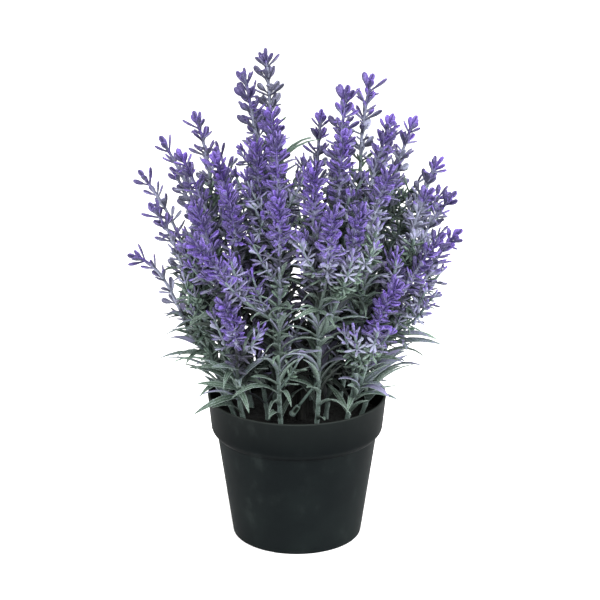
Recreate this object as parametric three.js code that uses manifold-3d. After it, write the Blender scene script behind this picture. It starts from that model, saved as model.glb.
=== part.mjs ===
// Potted lavender with moulded stems: a dark tapered pot, a dark fill, a bundle of dark core
// stems, leafy sprays that stand in holes in the fill, and the violet heads that top them.
// Millimetres, +Z up. The origin is the centre of the pot's underside, and -Y is the front.
import * as THREE from 'three';
import { mergeVertices } from 'three/addons/utils/BufferGeometryUtils.js';
import Module from 'manifold-3d';

const wasm = await Module();
wasm.setup();

const { clamp, degToRad, lerp } = THREE.MathUtils;

// The gap between pieces that touch
const SEAT_GAP = 0.35;

const POT = {
  height: 87,
  rimRadius: 52.5,
  collarRadius: 50, // at the collar's lower edge
  collarZ: 63.5,
  bodyTopRadius: 47.1, // just under the collar
  baseRadius: 38,
  wall: 1.5,
  floor: 2.4,
  edge: 0.8, // how far the lip and the base are rounded
  sides: 32,
};

const FILL = { top: 73, sides: 24, holeDepth: 22, holeRadius: 2.2, holeSides: 6 };

const CORE = {
  top: 134,
  topSpread: 14, // how much lower the outer stems may end
  outerStems: 5,
  ringRadius: 4.4, // how far the outer stems' feet stand from the middle one
  flare: 1.35, // how much wider the ring is at the top
  firstTurn: 0.3,
  radius: 2.7,
  taper: 0.7,
  sides: 6,
  holeRadius: 8.2,
  holeSides: 12,
  limb: 900,
};

const STALK = {
  radius: 1.45,
  sides: 5,
  steps: 6,
  upright: 1, // how far above the fill it starts to lean
  splay: 0.34, // how far from upright the outermost ones set out
  splayReach: 38, // and how far from the middle those stand
};

const BRANCH = {
  radius: 0.95,
  sides: 4,
  steps: 4,
  reach: 26, // the least length of a branch below its head
  reachStep: 9, // how much more each later branch has
  lowestFork: 14,
  flare: 0.9, // how much further than straight at its tip a branch sets out
  rootLength: 2.6, // over which its root narrows to a point inside the stalk
};

const HEAD = {
  length: 45,
  lengthSpread: 4,
  radius: 0.95,
  tipRadius: 0.8,
  sides: 3,
  leanCentreZ: 112, // heads point away from here
  bend: 0.34, // how far along its reach a stem keeps its first and last directions
  axisTop: 0.7, // how far below the tip its axis ends, in clubs
  firstWhorl: 10,
  whorlPitch: 8.2,
  whorlTurn: 1.95,
  lowestWhorl: 1.4, // the least height of a whorl above the head's foot
};

const CLUB = {
  length: 9.4,
  width: 3.3,
  thickness: 1.7,
  widest: 0.66, // how far along the club is widest
  lean: degToRad(48),
  topLean: 0.75, // of that lean, in the first whorl
  leanStep: 0.1, // more in each whorl below it
  mostLean: 1.2,
  azimuthSway: 0.3,
  rollSway: 0.45,
  lengthSway: 0.1,
  rodFrom: 0.48,
  rodTo: 0.88,
  rodWidth: 0.45,
};

const LEAF = {
  pitch: 20.6,
  pitchSpread: 0.12,
  pairTurn: 1.75,
  lengthLow: 27, // at the foot of the plant
  lengthHigh: 15, // from highZ upwards
  highZ: 190,
  growth: 100, // the height over which the length changes
  long: 22, // longer leaves have more bends
  width: 2.9,
  taper: 0.85,
  thickness: 1,
  rise: degToRad(34),
  curl: degToRad(52),
  leastCurl: 0.5,
  azimuthSway: 0.35,
  riseSway: 0.2,
  lengthSway: 0.15,
  longSpans: [0.36, 0.34, 0.3],
  shortSpans: [0.52, 0.48],
  firstOnStalk: 7,
  firstOnBranch: 12,
  bareTop: 4,
};

// Three long blades that grow from one place
const TUFT = { length: 38, rise: degToRad(18), riseStep: 0.4, turns: [-0.35, 0, 0.35], curl: 1.1 };

// The club at a head's very tip, with its root that many clubs below the tip
const TOP_CLUB = { root: 0.9, length: 0.95, lean: 0.05 };

// The hollow foot of a loose twig
const SOCKET = { radius: 2.1, neckRadius: 1.7, sides: 6, length: 8, twigHeight: 33, seat: 0.3 };

// How deep a root is sunk past the middle of its stem, and where the keel of a blade lies
const ROOT_SINK = 0.2;
const KEEL = 0.7;

// What grows keeps this far from other nodes, from its own node's blades and from the pot
const CLEARANCE = 0.3;
const OWN_CLEARANCE = -0.6;
const POT_CLEARANCE = 1.6;

// A limb that would cross another is turned (degrees), lifted and shortened, in this order.
const TRIES = [
  [0, 1, 1], [20, 1, 1], [-20, 1, 1], [0, 0.75, 1], [35, 0.9, 1], [-35, 0.9, 1], [55, 1, 0.9],
  [-55, 1, 0.9], [15, 0.6, 0.85], [-15, 0.6, 0.85], [40, 0.7, 0.8], [-40, 0.7, 0.8], [0, 0.5, 0.75],
];

// Each spray: where its foot stands in the fill (x, y), and the tips of its heads (x, y, z).
// The first head tops the stalk and the others top side branches. A fourth number turns a
// head further from upright, in degrees. A tuft is three long blades at that distance up the
// stalk, and a socket is the foot of a loose twig that hangs down to that point.
const SPRAYS = [
  { name: 'left', foot: [-37, -3], heads: [[-90, -2, 222], [-97, -8, 173, 30], [-84, -14, 206]] },
  { name: 'left_back', foot: [-27, 14], heads: [[-78, 6, 240], [-59, 8, 254], [-74, 36, 214]] },
  { name: 'left_inner', foot: [-17, -5], heads: [[-47, -22, 238], [-67, -12, 237], [-24, -30, 250]] },
  { name: 'top_left', foot: [-8, 12], heads: [[-18, 14, 289], [-30, 8, 279], [-15, -6, 261]], tuft: 140 },
  { name: 'front_left', foot: [-30, -19], heads: [[-41, -46, 227], [-59, -34, 214], [-43, -66, 166]] },
  { name: 'front_mid_left', foot: [-9, -27], heads: [[-11, -58, 226], [-60, -62, 200, 12], [-12, -34, 253]] },
  {
    name: 'front_mid_right', foot: [11, -27], heads: [[10, -48, 240], [21, -68, 220], [37, -52, 216]],
    socket: [-3, -23, 82],
  },
  { name: 'front_right', foot: [28, -20], heads: [[53, -36, 234], [83, -34, 194], [59, -52, 171]] },
  { name: 'right', foot: [38, -3], heads: [[91, 0, 209], [77, -14, 215], [93, -22, 193]] },
  { name: 'top_right', foot: [17, -4], heads: [[29, 4, 270], [27, -24, 252], [54, -2, 255]] },
  { name: 'right_back', foot: [31, 11], heads: [[43, 16, 274], [68, 10, 251], [83, 2, 229]] },
  { name: 'back_mid', foot: [9, 27], heads: [[14, 22, 252], [30, 52, 236], [4, 70, 214]] },
  { name: 'back_left', foot: [-13, 27], heads: [[-25, 42, 250], [-48, 50, 226], [-30, 76, 196]] },
  { name: 'back_right', foot: [26, 26], heads: [[58, 38, 240], [64, 60, 204], [88, 30, 204], [38, 78, 190]] },
];

// What each repeatable draw is for
const FOR = {
  headLength: 1,
  topRoll: 2,
  whorlHeading: 3,
  clubAzimuth: 4,
  clubFace: 5,
  clubRoll: 6,
  clubLength: 7,
  pairHeading: 8,
  leafAzimuth: 9,
  leafRise: 10,
  leafCurl: 11,
  leafLength: 12,
  leafPitch: 13,
  coreTop: 14,
};

const potPlastic = new THREE.MeshStandardMaterial({ color: 0x23292a, roughness: 0.55, metalness: 0 });
const darkFill = new THREE.MeshStandardMaterial({ color: 0x15140f, roughness: 0.95, metalness: 0 });
const darkStem = new THREE.MeshStandardMaterial({ color: 0x1b1e18, roughness: 0.8, metalness: 0 });
const sageGreen = new THREE.MeshStandardMaterial({ color: 0x6d7f6f, roughness: 0.7, metalness: 0 });
const violet = new THREE.MeshStandardMaterial({ color: 0x6148a8, roughness: 0.65, metalness: 0 });

// A repeatable draw between 0 and 1 for one limb, a place on it and a purpose.
function draw(limb, place, purpose) {
  const modulus = 2147483647;
  let state = (limb * 7919 + place * 104729 + purpose * 15485863 + 1) % modulus;
  for (let turn = 0; turn < 3; turn += 1) {
    state = (state * 48271) % modulus;
  }
  return state / modulus;
}

// A repeatable draw between -half and +half.
function sway(limb, place, purpose, half) {
  return (2 * draw(limb, place, purpose) - 1) * half;
}

// The point that lies a along the first direction and b along the second one from a start.
function offset(start, first, a, second, b) {
  return start.clone().addScaledVector(first, a).addScaledVector(second, b);
}

// The direction at an angle from the first of two square directions towards the second.
function turnedTo(first, second, angle) {
  return offset(new THREE.Vector3(), first, Math.cos(angle), second, Math.sin(angle));
}

// A closed mesh as a solid that can be joined and cut.
function solidOf(geometry) {
  const bare = geometry.clone();
  bare.deleteAttribute('normal');
  bare.deleteAttribute('uv');
  const merged = mergeVertices(bare, 1e-5);
  const corners = merged.index.array;
  const kept = [];
  for (let i = 0; i < corners.length; i += 3) {
    const [a, b, c] = [corners[i], corners[i + 1], corners[i + 2]];
    if (a !== b && b !== c && c !== a) {
      kept.push(a, b, c);
    }
  }
  const vertProperties = new Float32Array(merged.attributes.position.array);
  return new wasm.Manifold(new wasm.Mesh({ numProp: 3, vertProperties, triVerts: new Uint32Array(kept) }));
}

// A solid back as a named mesh.
function meshOf(name, solid, material) {
  const { vertProperties, triVerts, numProp } = solid.getMesh();
  const positions = [];
  for (let i = 0; i < vertProperties.length; i += numProp) {
    positions.push(vertProperties[i], vertProperties[i + 1], vertProperties[i + 2]);
  }
  const geometry = new THREE.BufferGeometry();
  geometry.setAttribute('position', new THREE.Float32BufferAttribute(positions, 3));
  geometry.setIndex(Array.from(triVerts));
  geometry.computeVertexNormals();
  const mesh = new THREE.Mesh(geometry, material);
  mesh.name = name;
  return mesh;
}

// A closed skin over a row of sections, each a ring of points or a single point for a tip.
// Rings run anticlockwise about the way from the first section to the last.
function loft(sections) {
  const starts = [];
  const positions = [];
  for (const section of sections) {
    starts.push(positions.length / 3);
    section.forEach((point) => positions.push(point.x, point.y, point.z));
  }
  const index = [];
  for (let k = 0; k + 1 < sections.length; k += 1) {
    const [low, high] = [starts[k], starts[k + 1]];
    const [lowCount, highCount] = [sections[k].length, sections[k + 1].length];
    const count = Math.max(lowCount, highCount);
    for (let i = 0; i < count; i += 1) {
      const next = (i + 1) % count;
      if (lowCount > 1) {
        index.push(low + i, low + next, high + (next % highCount));
      }
      if (highCount > 1) {
        index.push(low + (i % lowCount), high + next, high + i);
      }
    }
  }
  const last = sections.length - 1;
  for (let i = 1; i + 1 < sections[0].length; i += 1) {
    index.push(0, i + 1, i);
  }
  for (let i = 1; i + 1 < sections[last].length; i += 1) {
    index.push(starts[last], starts[last] + i, starts[last] + i + 1);
  }
  const geometry = new THREE.BufferGeometry();
  geometry.setAttribute('position', new THREE.Float32BufferAttribute(positions, 3));
  geometry.setIndex(index);
  return geometry;
}

// A polyline with a turning frame: a way along a stem to places given by their distance.
class Route {
  constructor(points) {
    this.points = points;
    this.marks = [0];
    this.sides = [];
    let side = new THREE.Vector3(0.6, -0.8, 0);
    for (let i = 1; i < points.length; i += 1) {
      this.marks.push(this.marks[i - 1] + points[i].distanceTo(points[i - 1]));
      const tangent = points[i].clone().sub(points[i - 1]).normalize();
      side = side.clone().addScaledVector(tangent, -side.dot(tangent)).normalize();
      this.sides.push(side);
    }
    this.length = this.marks[points.length - 1];
  }

  // The place at a distance along the route, with its tangent and two directions across it.
  at(distance) {
    let leg = 0;
    while (leg + 2 < this.points.length && this.marks[leg + 1] < distance) {
      leg += 1;
    }
    const tangent = this.points[leg + 1].clone().sub(this.points[leg]).normalize();
    const point = this.points[leg].clone().addScaledVector(tangent, distance - this.marks[leg]);
    const side = this.sides[leg];
    return { point, tangent, side, across: tangent.clone().cross(side) };
  }

  // The points between two distances, with both ends and no legs shorter than 1 mm.
  between(from, to) {
    const inner = this.points.filter((_, i) => this.marks[i] > from + 1 && this.marks[i] < to - 1);
    return [this.at(from).point, ...inner, this.at(to).point];
  }

  // A ring of points square to the route, halfway between the legs that meet there.
  ring(mark, radius, sides) {
    const before = this.at(Math.max(mark - 0.5, 0));
    const after = this.at(Math.min(mark + 0.5, this.length));
    const tangent = before.tangent.clone().add(after.tangent).normalize();
    const side = before.side.clone().addScaledVector(tangent, -before.side.dot(tangent)).normalize();
    const across = tangent.clone().cross(side);
    const { point } = this.at(mark);
    return Array.from({ length: sides }, (_, k) => (
      point.clone().addScaledVector(turnedTo(side, across, (2 * Math.PI * k) / sides), radius)
    ));
  }
}

// A tapering stem with a few sides along a row of points. With a root length it is a side
// branch, and its root narrows to a point.
function stem(points, startRadius, endRadius, sides, rootLength = 0) {
  const route = new Route(points);
  const rings = [rootLength, ...route.marks.slice(1)].map((mark) => (
    route.ring(mark, lerp(startRadius, endRadius, mark / route.length), sides)
  ));
  return solidOf(loft(rootLength > 0 ? [[points[0]], ...rings] : rings));
}

// The shortest distance between two straight segments.
function segmentDistance(a, b, c, d) {
  const first = b.clone().sub(a);
  const second = d.clone().sub(c);
  const between = a.clone().sub(c);
  const firstSquare = first.dot(first);
  const secondSquare = second.dot(second);
  const cross = first.dot(second);
  const alongFirst = first.dot(between);
  const alongSecond = second.dot(between);
  const spread = firstSquare * secondSquare - cross * cross;
  let s = 0;
  if (spread > 1e-9) {
    s = clamp((cross * alongSecond - alongFirst * secondSquare) / spread, 0, 1);
  }
  let t = (cross * s + alongSecond) / secondSquare;
  if (t < 0) {
    t = 0;
    s = clamp(-alongFirst / firstSquare, 0, 1);
  } else if (t > 1) {
    t = 1;
    s = clamp((cross - alongFirst) / firstSquare, 0, 1);
  }
  return between.addScaledVector(first, s).addScaledVector(second, -t).length();
}

// Every limb placed so far, as rods with a radius, and the node that owns each. A blade is
// the outer part of a leaf or club, which also stays off the other blades of its own node.
const rods = [];

// Registers a limb's rods.
function keepRods(owner, limbRods) {
  limbRods.forEach((rod) => rods.push({ owner, ...rod }));
}

// Registers a rod for each leg between a row of points.
function keepWay(owner, points, radius) {
  keepRods(owner, points.slice(1).map((to, i) => ({ from: points[i], to, radius })));
}

// Whether a limb's rods stay clear of all those placed before.
function clearOfOthers(owner, limbRods) {
  return limbRods.every((mine) => rods.every((rod) => {
    const own = rod.owner === owner;
    if (own && !(mine.blade && rod.blade)) {
      return true;
    }
    const room = segmentDistance(mine.from, mine.to, rod.from, rod.to) - mine.radius - rod.radius;
    return room > (own ? OWN_CLEARANCE : CLEARANCE);
  }));
}

// Whether a point stays above the rim, or well inside it and above the fill.
function clearOfPot(point) {
  const inside = Math.hypot(point.x, point.y) < POT.collarRadius - POT.wall - POT_CLEARANCE;
  return point.z > POT.height + POT_CLEARANCE || (inside && point.z > FILL.top + POT_CLEARANCE);
}

// Grows a limb in the first of its tried shapes that crosses nothing, or not at all.
function growClear(owner, shapeFor) {
  for (const [turn, lift, size] of TRIES) {
    const shape = shapeFor(degToRad(turn), lift, size);
    if (shape.rods.every((rod) => clearOfPot(rod.to)) && clearOfOthers(owner, shape.rods)) {
      keepRods(owner, shape.rods);
      return [shape.sections];
    }
  }
  return [];
}

// The three corners of a blade: flat on one face, with a keel on the other.
function bladeSection(middle, wide, half, thick, thickness) {
  return [
    offset(middle, wide, half, thick, thickness * (KEEL - 1)),
    offset(middle, wide, 0, thick, thickness * KEEL),
    offset(middle, wide, -half, thick, thickness * (KEEL - 1)),
  ];
}

// A flat club on a thin neck. It leans out from its stem by an angle, and its flat face is
// rolled about its own length.
function clubShape(place, azimuth, lean, length, roll) {
  const out = turnedTo(place.side, place.across, azimuth);
  const along = turnedTo(place.tangent, out, lean);
  const round = place.tangent.clone().cross(out);
  const wide = turnedTo(round, along.clone().cross(round), roll);
  const root = offset(place.point, out, -ROOT_SINK, place.tangent, -ROOT_SINK);
  const [middle, tip, from, to] = [CLUB.widest, 1, CLUB.rodFrom, CLUB.rodTo].map((share) => (
    root.clone().addScaledVector(along, length * share)
  ));
  const ring = bladeSection(middle, wide, CLUB.width / 2, along.clone().cross(wide), CLUB.thickness);
  const rod = { from, to, radius: CLUB.width * CLUB.rodWidth, blade: true };
  return { sections: [[root], ring, [tip]], rods: [rod] };
}

// A narrow pointed leaf with a keel, which arches outwards from its stem.
function leafShape(place, azimuth, rise, curl, length) {
  const out = turnedTo(place.side, place.across, azimuth);
  const wide = place.tangent.clone().cross(out);
  const spans = length > LEAF.long ? LEAF.longSpans : LEAF.shortSpans;
  const last = spans.length - 1;
  let point = offset(place.point, out, -ROOT_SINK, place.tangent, -ROOT_SINK);
  const sections = [[point]];
  const leafRods = [];
  spans.forEach((span, i) => {
    const along = turnedTo(place.tangent, out, rise + (curl * i) / last);
    const next = point.clone().addScaledVector(along, length * span);
    const half = (LEAF.width / 2) * (i === 0 ? 1 : LEAF.taper);
    const ring = bladeSection(next, wide, half, along.clone().cross(wide), LEAF.thickness);
    sections.push(i === last ? [next] : ring);
    leafRods.push({ from: point, to: next, radius: i === last ? half * LEAF.taper : half, blade: i > 0 });
    point = next;
  });
  return { sections, rods: leafRods };
}

// The tip of a head as a point.
function tipOf([x, y, z]) {
  return new THREE.Vector3(x, y, z);
}

// The direction that a head points in at its tip, away from a centre low in the bush.
function headDirection([x, y, z, extraLean = 0]) {
  const outward = new THREE.Vector3(x, y, z - HEAD.leanCentreZ).normalize();
  return outward.applyAxisAngle(new THREE.Vector3(-y, x, 0).normalize(), degToRad(extraLean));
}

// A stem's way to a head's tip, leaving along one direction and arriving along the head's.
function wayTo(start, leaving, head, steps) {
  const tip = tipOf(head);
  const bend = tip.distanceTo(start) * HEAD.bend;
  const first = start.clone().addScaledVector(leaving, bend);
  const second = tip.clone().addScaledVector(headDirection(head), -bend);
  return new Route(new THREE.CubicBezierCurve3(start, first, second, tip).getPoints(steps));
}

// The highest place on a stalk that is at least a given reach from a head's tip.
function forkFor(stalkRoute, head, reach) {
  const tip = tipOf(head);
  let distance = stalkRoute.length - HEAD.length;
  while (distance > BRANCH.lowestFork && stalkRoute.at(distance).point.distanceTo(tip) < reach) {
    distance -= 1;
  }
  return stalkRoute.at(distance);
}

// The way of a side branch from its fork to its head's tip.
function branchWay(stalkRoute, head, reach) {
  const fork = forkFor(stalkRoute, head, reach);
  const straight = tipOf(head).sub(fork.point).normalize();
  const leaving = straight.multiplyScalar(1 + BRANCH.flare).addScaledVector(fork.tangent, -BRANCH.flare);
  return wayTo(fork.point, leaving.normalize(), head, BRANCH.steps);
}

// The stems of one spray: the stalk to its first head and a side branch to each other head.
function planSpray(spray, sprayIndex) {
  const [x, y] = spray.foot;
  const collar = new THREE.Vector3(x, y, FILL.top + STALK.upright);
  const leaving = new THREE.Vector3(x, y, STALK.splayReach / STALK.splay).normalize();
  const stalkRoute = wayTo(collar, leaving, spray.heads[0], STALK.steps);
  const limbs = spray.heads.map((head, i) => {
    const limb = sprayIndex * 10 + i;
    const headLength = HEAD.length + sway(limb, 0, FOR.headLength, HEAD.lengthSpread);
    const reach = headLength + BRANCH.reach + BRANCH.reachStep * i;
    const route = i === 0 ? stalkRoute : branchWay(stalkRoute, head, reach);
    return { limb, route, headLength, name: `head_${spray.name}_${i + 1}` };
  });
  const foot = new THREE.Vector3(x, y, FILL.top - FILL.holeDepth + SEAT_GAP);
  return { ...spray, name: `spray_${spray.name}`, foot, collar, limbs };
}

// The ways of a loose twig: the twig from the stalk to its socket, and the socket's own.
function socketWays(spray) {
  const end = tipOf(spray.socket);
  const start = spray.limbs[0].route.at(SOCKET.twigHeight).point;
  const neck = end.clone().lerp(start, SOCKET.length / end.distanceTo(start));
  return { twig: [start, neck.clone().lerp(end, SOCKET.seat)], socket: [neck, end] };
}

// Registers the rods of a spray's stems and of its heads' axes.
function keepStems(spray) {
  keepWay(spray.name, [spray.foot, spray.collar], STALK.radius);
  if (spray.socket) {
    const { twig, socket } = socketWays(spray);
    keepWay(spray.name, twig, BRANCH.radius);
    keepWay(spray.name, socket, SOCKET.radius);
  }
  spray.limbs.forEach(({ route, headLength, name }, i) => {
    const seat = route.length - headLength;
    keepWay(spray.name, route.between(0, seat), i === 0 ? STALK.radius : BRANCH.radius);
    keepWay(name, route.between(seat, route.length - CLUB.length), HEAD.radius);
  });
}

// The clubs of one flower head: one at its tip and opposite pairs below it.
function growClubs({ limb, route, headLength, name }) {
  const top = route.at(route.length - CLUB.length * TOP_CLUB.root);
  const topRoll = draw(limb, 0, FOR.topRoll) * Math.PI;
  const grown = growClear(name, (turn, lift, size) => (
    clubShape(top, turn, TOP_CLUB.lean * lift, CLUB.length * TOP_CLUB.length * size, topRoll)
  ));
  const whorls = Math.floor((headLength - HEAD.firstWhorl - HEAD.lowestWhorl) / HEAD.whorlPitch) + 1;
  for (let mark = 1; mark <= whorls * 2; mark += 1) {
    const whorl = Math.floor((mark - 1) / 2);
    const place = route.at(route.length - HEAD.firstWhorl - whorl * HEAD.whorlPitch);
    const heading = whorl * HEAD.whorlTurn + draw(limb, 0, FOR.whorlHeading) * Math.PI;
    const opposite = mark % 2 ? 0 : Math.PI;
    const azimuth = heading + opposite + sway(limb, mark, FOR.clubAzimuth, CLUB.azimuthSway);
    const lean = CLUB.lean * Math.min(CLUB.topLean + CLUB.leanStep * whorl, CLUB.mostLean);
    const face = draw(limb, mark, FOR.clubFace) < 0.5 ? 0 : Math.PI / 2;
    const roll = face + sway(limb, mark, FOR.clubRoll, CLUB.rollSway);
    const length = CLUB.length * (1 + sway(limb, mark, FOR.clubLength, CLUB.lengthSway));
    grown.push(...growClear(name, (turn, lift, size) => (
      clubShape(place, azimuth + turn, lean * lift, length * size, roll)
    )));
  }
  return grown;
}

// One leaf of the pair with a given number at a place on a limb.
function growLeaf(owner, limb, place, pair, second) {
  const mark = pair * 2 + (second ? 1 : 0);
  const heading = pair * LEAF.pairTurn + draw(limb, 0, FOR.pairHeading) * Math.PI;
  const opposite = second ? Math.PI : 0;
  const azimuth = heading + opposite + sway(limb, mark, FOR.leafAzimuth, LEAF.azimuthSway);
  const rise = LEAF.rise + sway(limb, mark, FOR.leafRise, LEAF.riseSway);
  const curl = LEAF.curl * (LEAF.leastCurl + draw(limb, mark, FOR.leafCurl));
  const low = clamp((LEAF.highZ - place.point.z) / LEAF.growth, 0, 1);
  const plain = lerp(LEAF.lengthHigh, LEAF.lengthLow, low);
  const length = plain * (1 + sway(limb, mark, FOR.leafLength, LEAF.lengthSway));
  return growClear(owner, (turn, lift, size) => (
    leafShape(place, azimuth + turn, rise * lift, curl * lift, length * size)
  ));
}

// The leaves of one spray, in opposite pairs up its stalk and branches.
function growLeaves(spray) {
  const grown = [];
  spray.limbs.forEach(({ limb, route, headLength }, i) => {
    let distance = i === 0 ? LEAF.firstOnStalk : LEAF.firstOnBranch;
    for (let pair = 0; distance < route.length - headLength - LEAF.bareTop; pair += 1) {
      const place = route.at(distance);
      grown.push(...growLeaf(spray.name, limb, place, pair, false));
      grown.push(...growLeaf(spray.name, limb, place, pair, true));
      distance += LEAF.pitch * (1 + sway(limb, pair, FOR.leafPitch, LEAF.pitchSpread));
    }
  });
  return spray.tuft ? [...grown, ...growTuft(spray)] : grown;
}

// Three long blades that arch to the right from one place on the stalk.
function growTuft(spray) {
  const place = spray.limbs[0].route.at(spray.tuft);
  const rightwards = Math.atan2(place.across.x, place.side.x);
  return TUFT.turns.flatMap((around, i) => growClear(spray.name, (turn, lift, size) => {
    const rise = TUFT.rise * (1 + i * TUFT.riseStep) * lift;
    return leafShape(place, rightwards + around + turn, rise, LEAF.curl * TUFT.curl, TUFT.length * size);
  }));
}

// The stems of a spray as solids: its foot and stalk, its branches and any loose twig.
function stemSolids(spray) {
  const solids = spray.limbs.map(({ route, headLength }, i) => {
    const points = route.between(0, route.length - headLength);
    if (i === 0) {
      return stem([spray.foot, ...points], STALK.radius, HEAD.radius, STALK.sides);
    }
    return stem(points, BRANCH.radius, HEAD.radius, BRANCH.sides, BRANCH.rootLength);
  });
  if (spray.socket) {
    const { twig, socket } = socketWays(spray);
    solids.push(stem(twig, BRANCH.radius, BRANCH.radius, BRANCH.sides, BRANCH.rootLength));
    solids.push(stem(socket, SOCKET.neckRadius, SOCKET.radius, SOCKET.sides));
  }
  return solids;
}

// The axis of a head as a solid, from its seat on the branch to the root of its top club.
function headAxis({ route, headLength }) {
  const top = route.length - CLUB.length * HEAD.axisTop;
  const points = route.between(route.length - headLength + SEAT_GAP, top);
  return stem(points, HEAD.radius, HEAD.tipRadius, HEAD.sides);
}

// Joins grown limbs to the stems that they grow from.
function fuse(stems, limbs) {
  return wasm.Manifold.union([...stems, ...limbs.map((sections) => solidOf(loft(sections)))]);
}

// A solid turned about the Z axis from a profile of radii and heights.
function turned(profile, sides) {
  const points = profile.map(([radius, height]) => new THREE.Vector2(radius, height));
  return solidOf(new THREE.LatheGeometry(points, sides).rotateX(Math.PI / 2));
}

// The pot: a tapered body, a wider collar with a rounded lip, and a flat underside.
function makePot() {
  const { height, rimRadius, collarRadius, collarZ, bodyTopRadius, baseRadius, wall, floor, edge } = POT;
  return turned([
    [0, 0],
    [baseRadius - edge, 0],
    [baseRadius, edge],
    [bodyTopRadius, collarZ - edge],
    [collarRadius, collarZ],
    [rimRadius, height - edge],
    [rimRadius - edge / 2, height],
    [rimRadius - wall, height],
    [collarRadius - wall, collarZ + wall],
    [bodyTopRadius - wall, collarZ + wall / 2],
    [baseRadius - wall, floor],
    [0, floor],
  ], POT.sides);
}

// A plain round hole to cut, open at the top of the fill.
function holeCutter(x, y, radius, sides) {
  const length = FILL.holeDepth + 2;
  const cutter = new THREE.CylinderGeometry(radius, radius, length, sides);
  cutter.rotateX(Math.PI / 2);
  cutter.translate(x, y, FILL.top - FILL.holeDepth + length / 2);
  return solidOf(cutter);
}

// The fill: a plug that follows the pot's inside, with a plain hole for each stalk.
function makeFill() {
  const inset = POT.wall + 2 * SEAT_GAP;
  const shoulderZ = POT.collarZ + POT.wall + SEAT_GAP;
  const collarTaper = (POT.rimRadius - POT.collarRadius) / (POT.height - POT.collarZ);
  const plug = turned([
    [0, POT.floor + SEAT_GAP],
    [POT.baseRadius - inset, POT.floor + SEAT_GAP],
    [POT.bodyTopRadius - inset, shoulderZ],
    [POT.collarRadius - inset, shoulderZ + SEAT_GAP],
    [POT.collarRadius - inset + collarTaper * (FILL.top - shoulderZ), FILL.top],
    [0, FILL.top],
  ], FILL.sides);
  const holes = SPRAYS.map(({ foot: [x, y] }) => holeCutter(x, y, FILL.holeRadius, FILL.holeSides));
  return plug.subtract(wasm.Manifold.union([...holes, holeCutter(0, 0, CORE.holeRadius, CORE.holeSides)]));
}

// The core: dark straight stems that touch at their feet and spread a little upwards.
function makeCore() {
  const footZ = FILL.top - FILL.holeDepth + SEAT_GAP;
  const ways = [[new THREE.Vector3(0, 0, footZ), new THREE.Vector3(0, 0, CORE.top)]];
  for (let i = 0; i < CORE.outerStems; i += 1) {
    const turn = (2 * Math.PI * i) / CORE.outerStems + CORE.firstTurn;
    const outward = new THREE.Vector3(Math.cos(turn), Math.sin(turn), 0).multiplyScalar(CORE.ringRadius);
    const top = outward.clone().multiplyScalar(CORE.flare);
    top.z = CORE.top - CORE.topSpread * draw(CORE.limb + i, 0, FOR.coreTop);
    ways.push([outward.setZ(footZ), top]);
  }
  ways.forEach((way) => keepWay('core_stems', way, CORE.radius));
  return wasm.Manifold.union(ways.map((way) => stem(way, CORE.radius, CORE.radius * CORE.taper, CORE.sides)));
}

const plant = new THREE.Group();
plant.add(meshOf('pot', makePot(), potPlastic));
plant.add(meshOf('fill', makeFill(), darkFill));
plant.add(meshOf('core_stems', makeCore(), darkStem));

// All stems are in place before the clubs and leaves, which bend clear of them.
const sprays = SPRAYS.map(planSpray);
sprays.forEach(keepStems);
for (const { limbs } of sprays) {
  for (const limb of limbs) {
    plant.add(meshOf(limb.name, fuse([headAxis(limb)], growClubs(limb)), violet));
  }
}
for (const spray of sprays) {
  plant.add(meshOf(spray.name, fuse(stemSolids(spray), growLeaves(spray)), sageGreen));
}

export default plant;
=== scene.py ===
"""The looks of a potted lavender with moulded stems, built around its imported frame.

Shapes are worked out in millimetres and made in metres. +Z is up and -Y is the front.
"""

import logging
import math
from dataclasses import dataclass, field
from enum import Enum
from typing import Callable, NamedTuple, Sequence

import bpy
import numpy as np
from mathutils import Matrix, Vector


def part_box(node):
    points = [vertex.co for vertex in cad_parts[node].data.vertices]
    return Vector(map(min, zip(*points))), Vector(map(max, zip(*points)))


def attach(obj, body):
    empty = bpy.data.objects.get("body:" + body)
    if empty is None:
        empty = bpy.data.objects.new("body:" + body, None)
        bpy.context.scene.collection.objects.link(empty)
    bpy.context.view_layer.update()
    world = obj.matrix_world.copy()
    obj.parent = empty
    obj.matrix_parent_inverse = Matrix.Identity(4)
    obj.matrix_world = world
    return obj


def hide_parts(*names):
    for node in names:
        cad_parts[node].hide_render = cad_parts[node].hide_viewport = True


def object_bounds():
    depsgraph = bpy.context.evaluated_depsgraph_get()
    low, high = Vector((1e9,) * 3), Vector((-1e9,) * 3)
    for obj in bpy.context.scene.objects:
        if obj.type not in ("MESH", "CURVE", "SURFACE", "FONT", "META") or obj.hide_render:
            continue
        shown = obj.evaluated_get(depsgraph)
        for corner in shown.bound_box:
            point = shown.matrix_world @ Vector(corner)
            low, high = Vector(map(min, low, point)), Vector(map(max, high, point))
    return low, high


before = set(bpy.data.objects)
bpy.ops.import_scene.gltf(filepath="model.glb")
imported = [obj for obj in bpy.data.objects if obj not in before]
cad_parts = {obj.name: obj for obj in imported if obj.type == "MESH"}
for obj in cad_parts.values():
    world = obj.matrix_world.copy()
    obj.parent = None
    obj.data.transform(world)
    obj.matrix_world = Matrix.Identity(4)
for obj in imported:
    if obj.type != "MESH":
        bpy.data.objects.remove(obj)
FRAME_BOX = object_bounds()
BOX_LOW, BOX_HIGH = (np.array(corner) * 1000 for corner in FRAME_BOX)

LOG = logging.getLogger("lavender")

MM = 0.001
BODY = "root"
TURN = 2 * math.pi

# How far behind the middle of its stem a limb's root starts
ROOT_SINK = 0.2

# How deep a stalk's hole in the fill is, and the gap left under its foot
HOLE_DEPTH = 22
SEAT_GAP = 0.35

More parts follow.
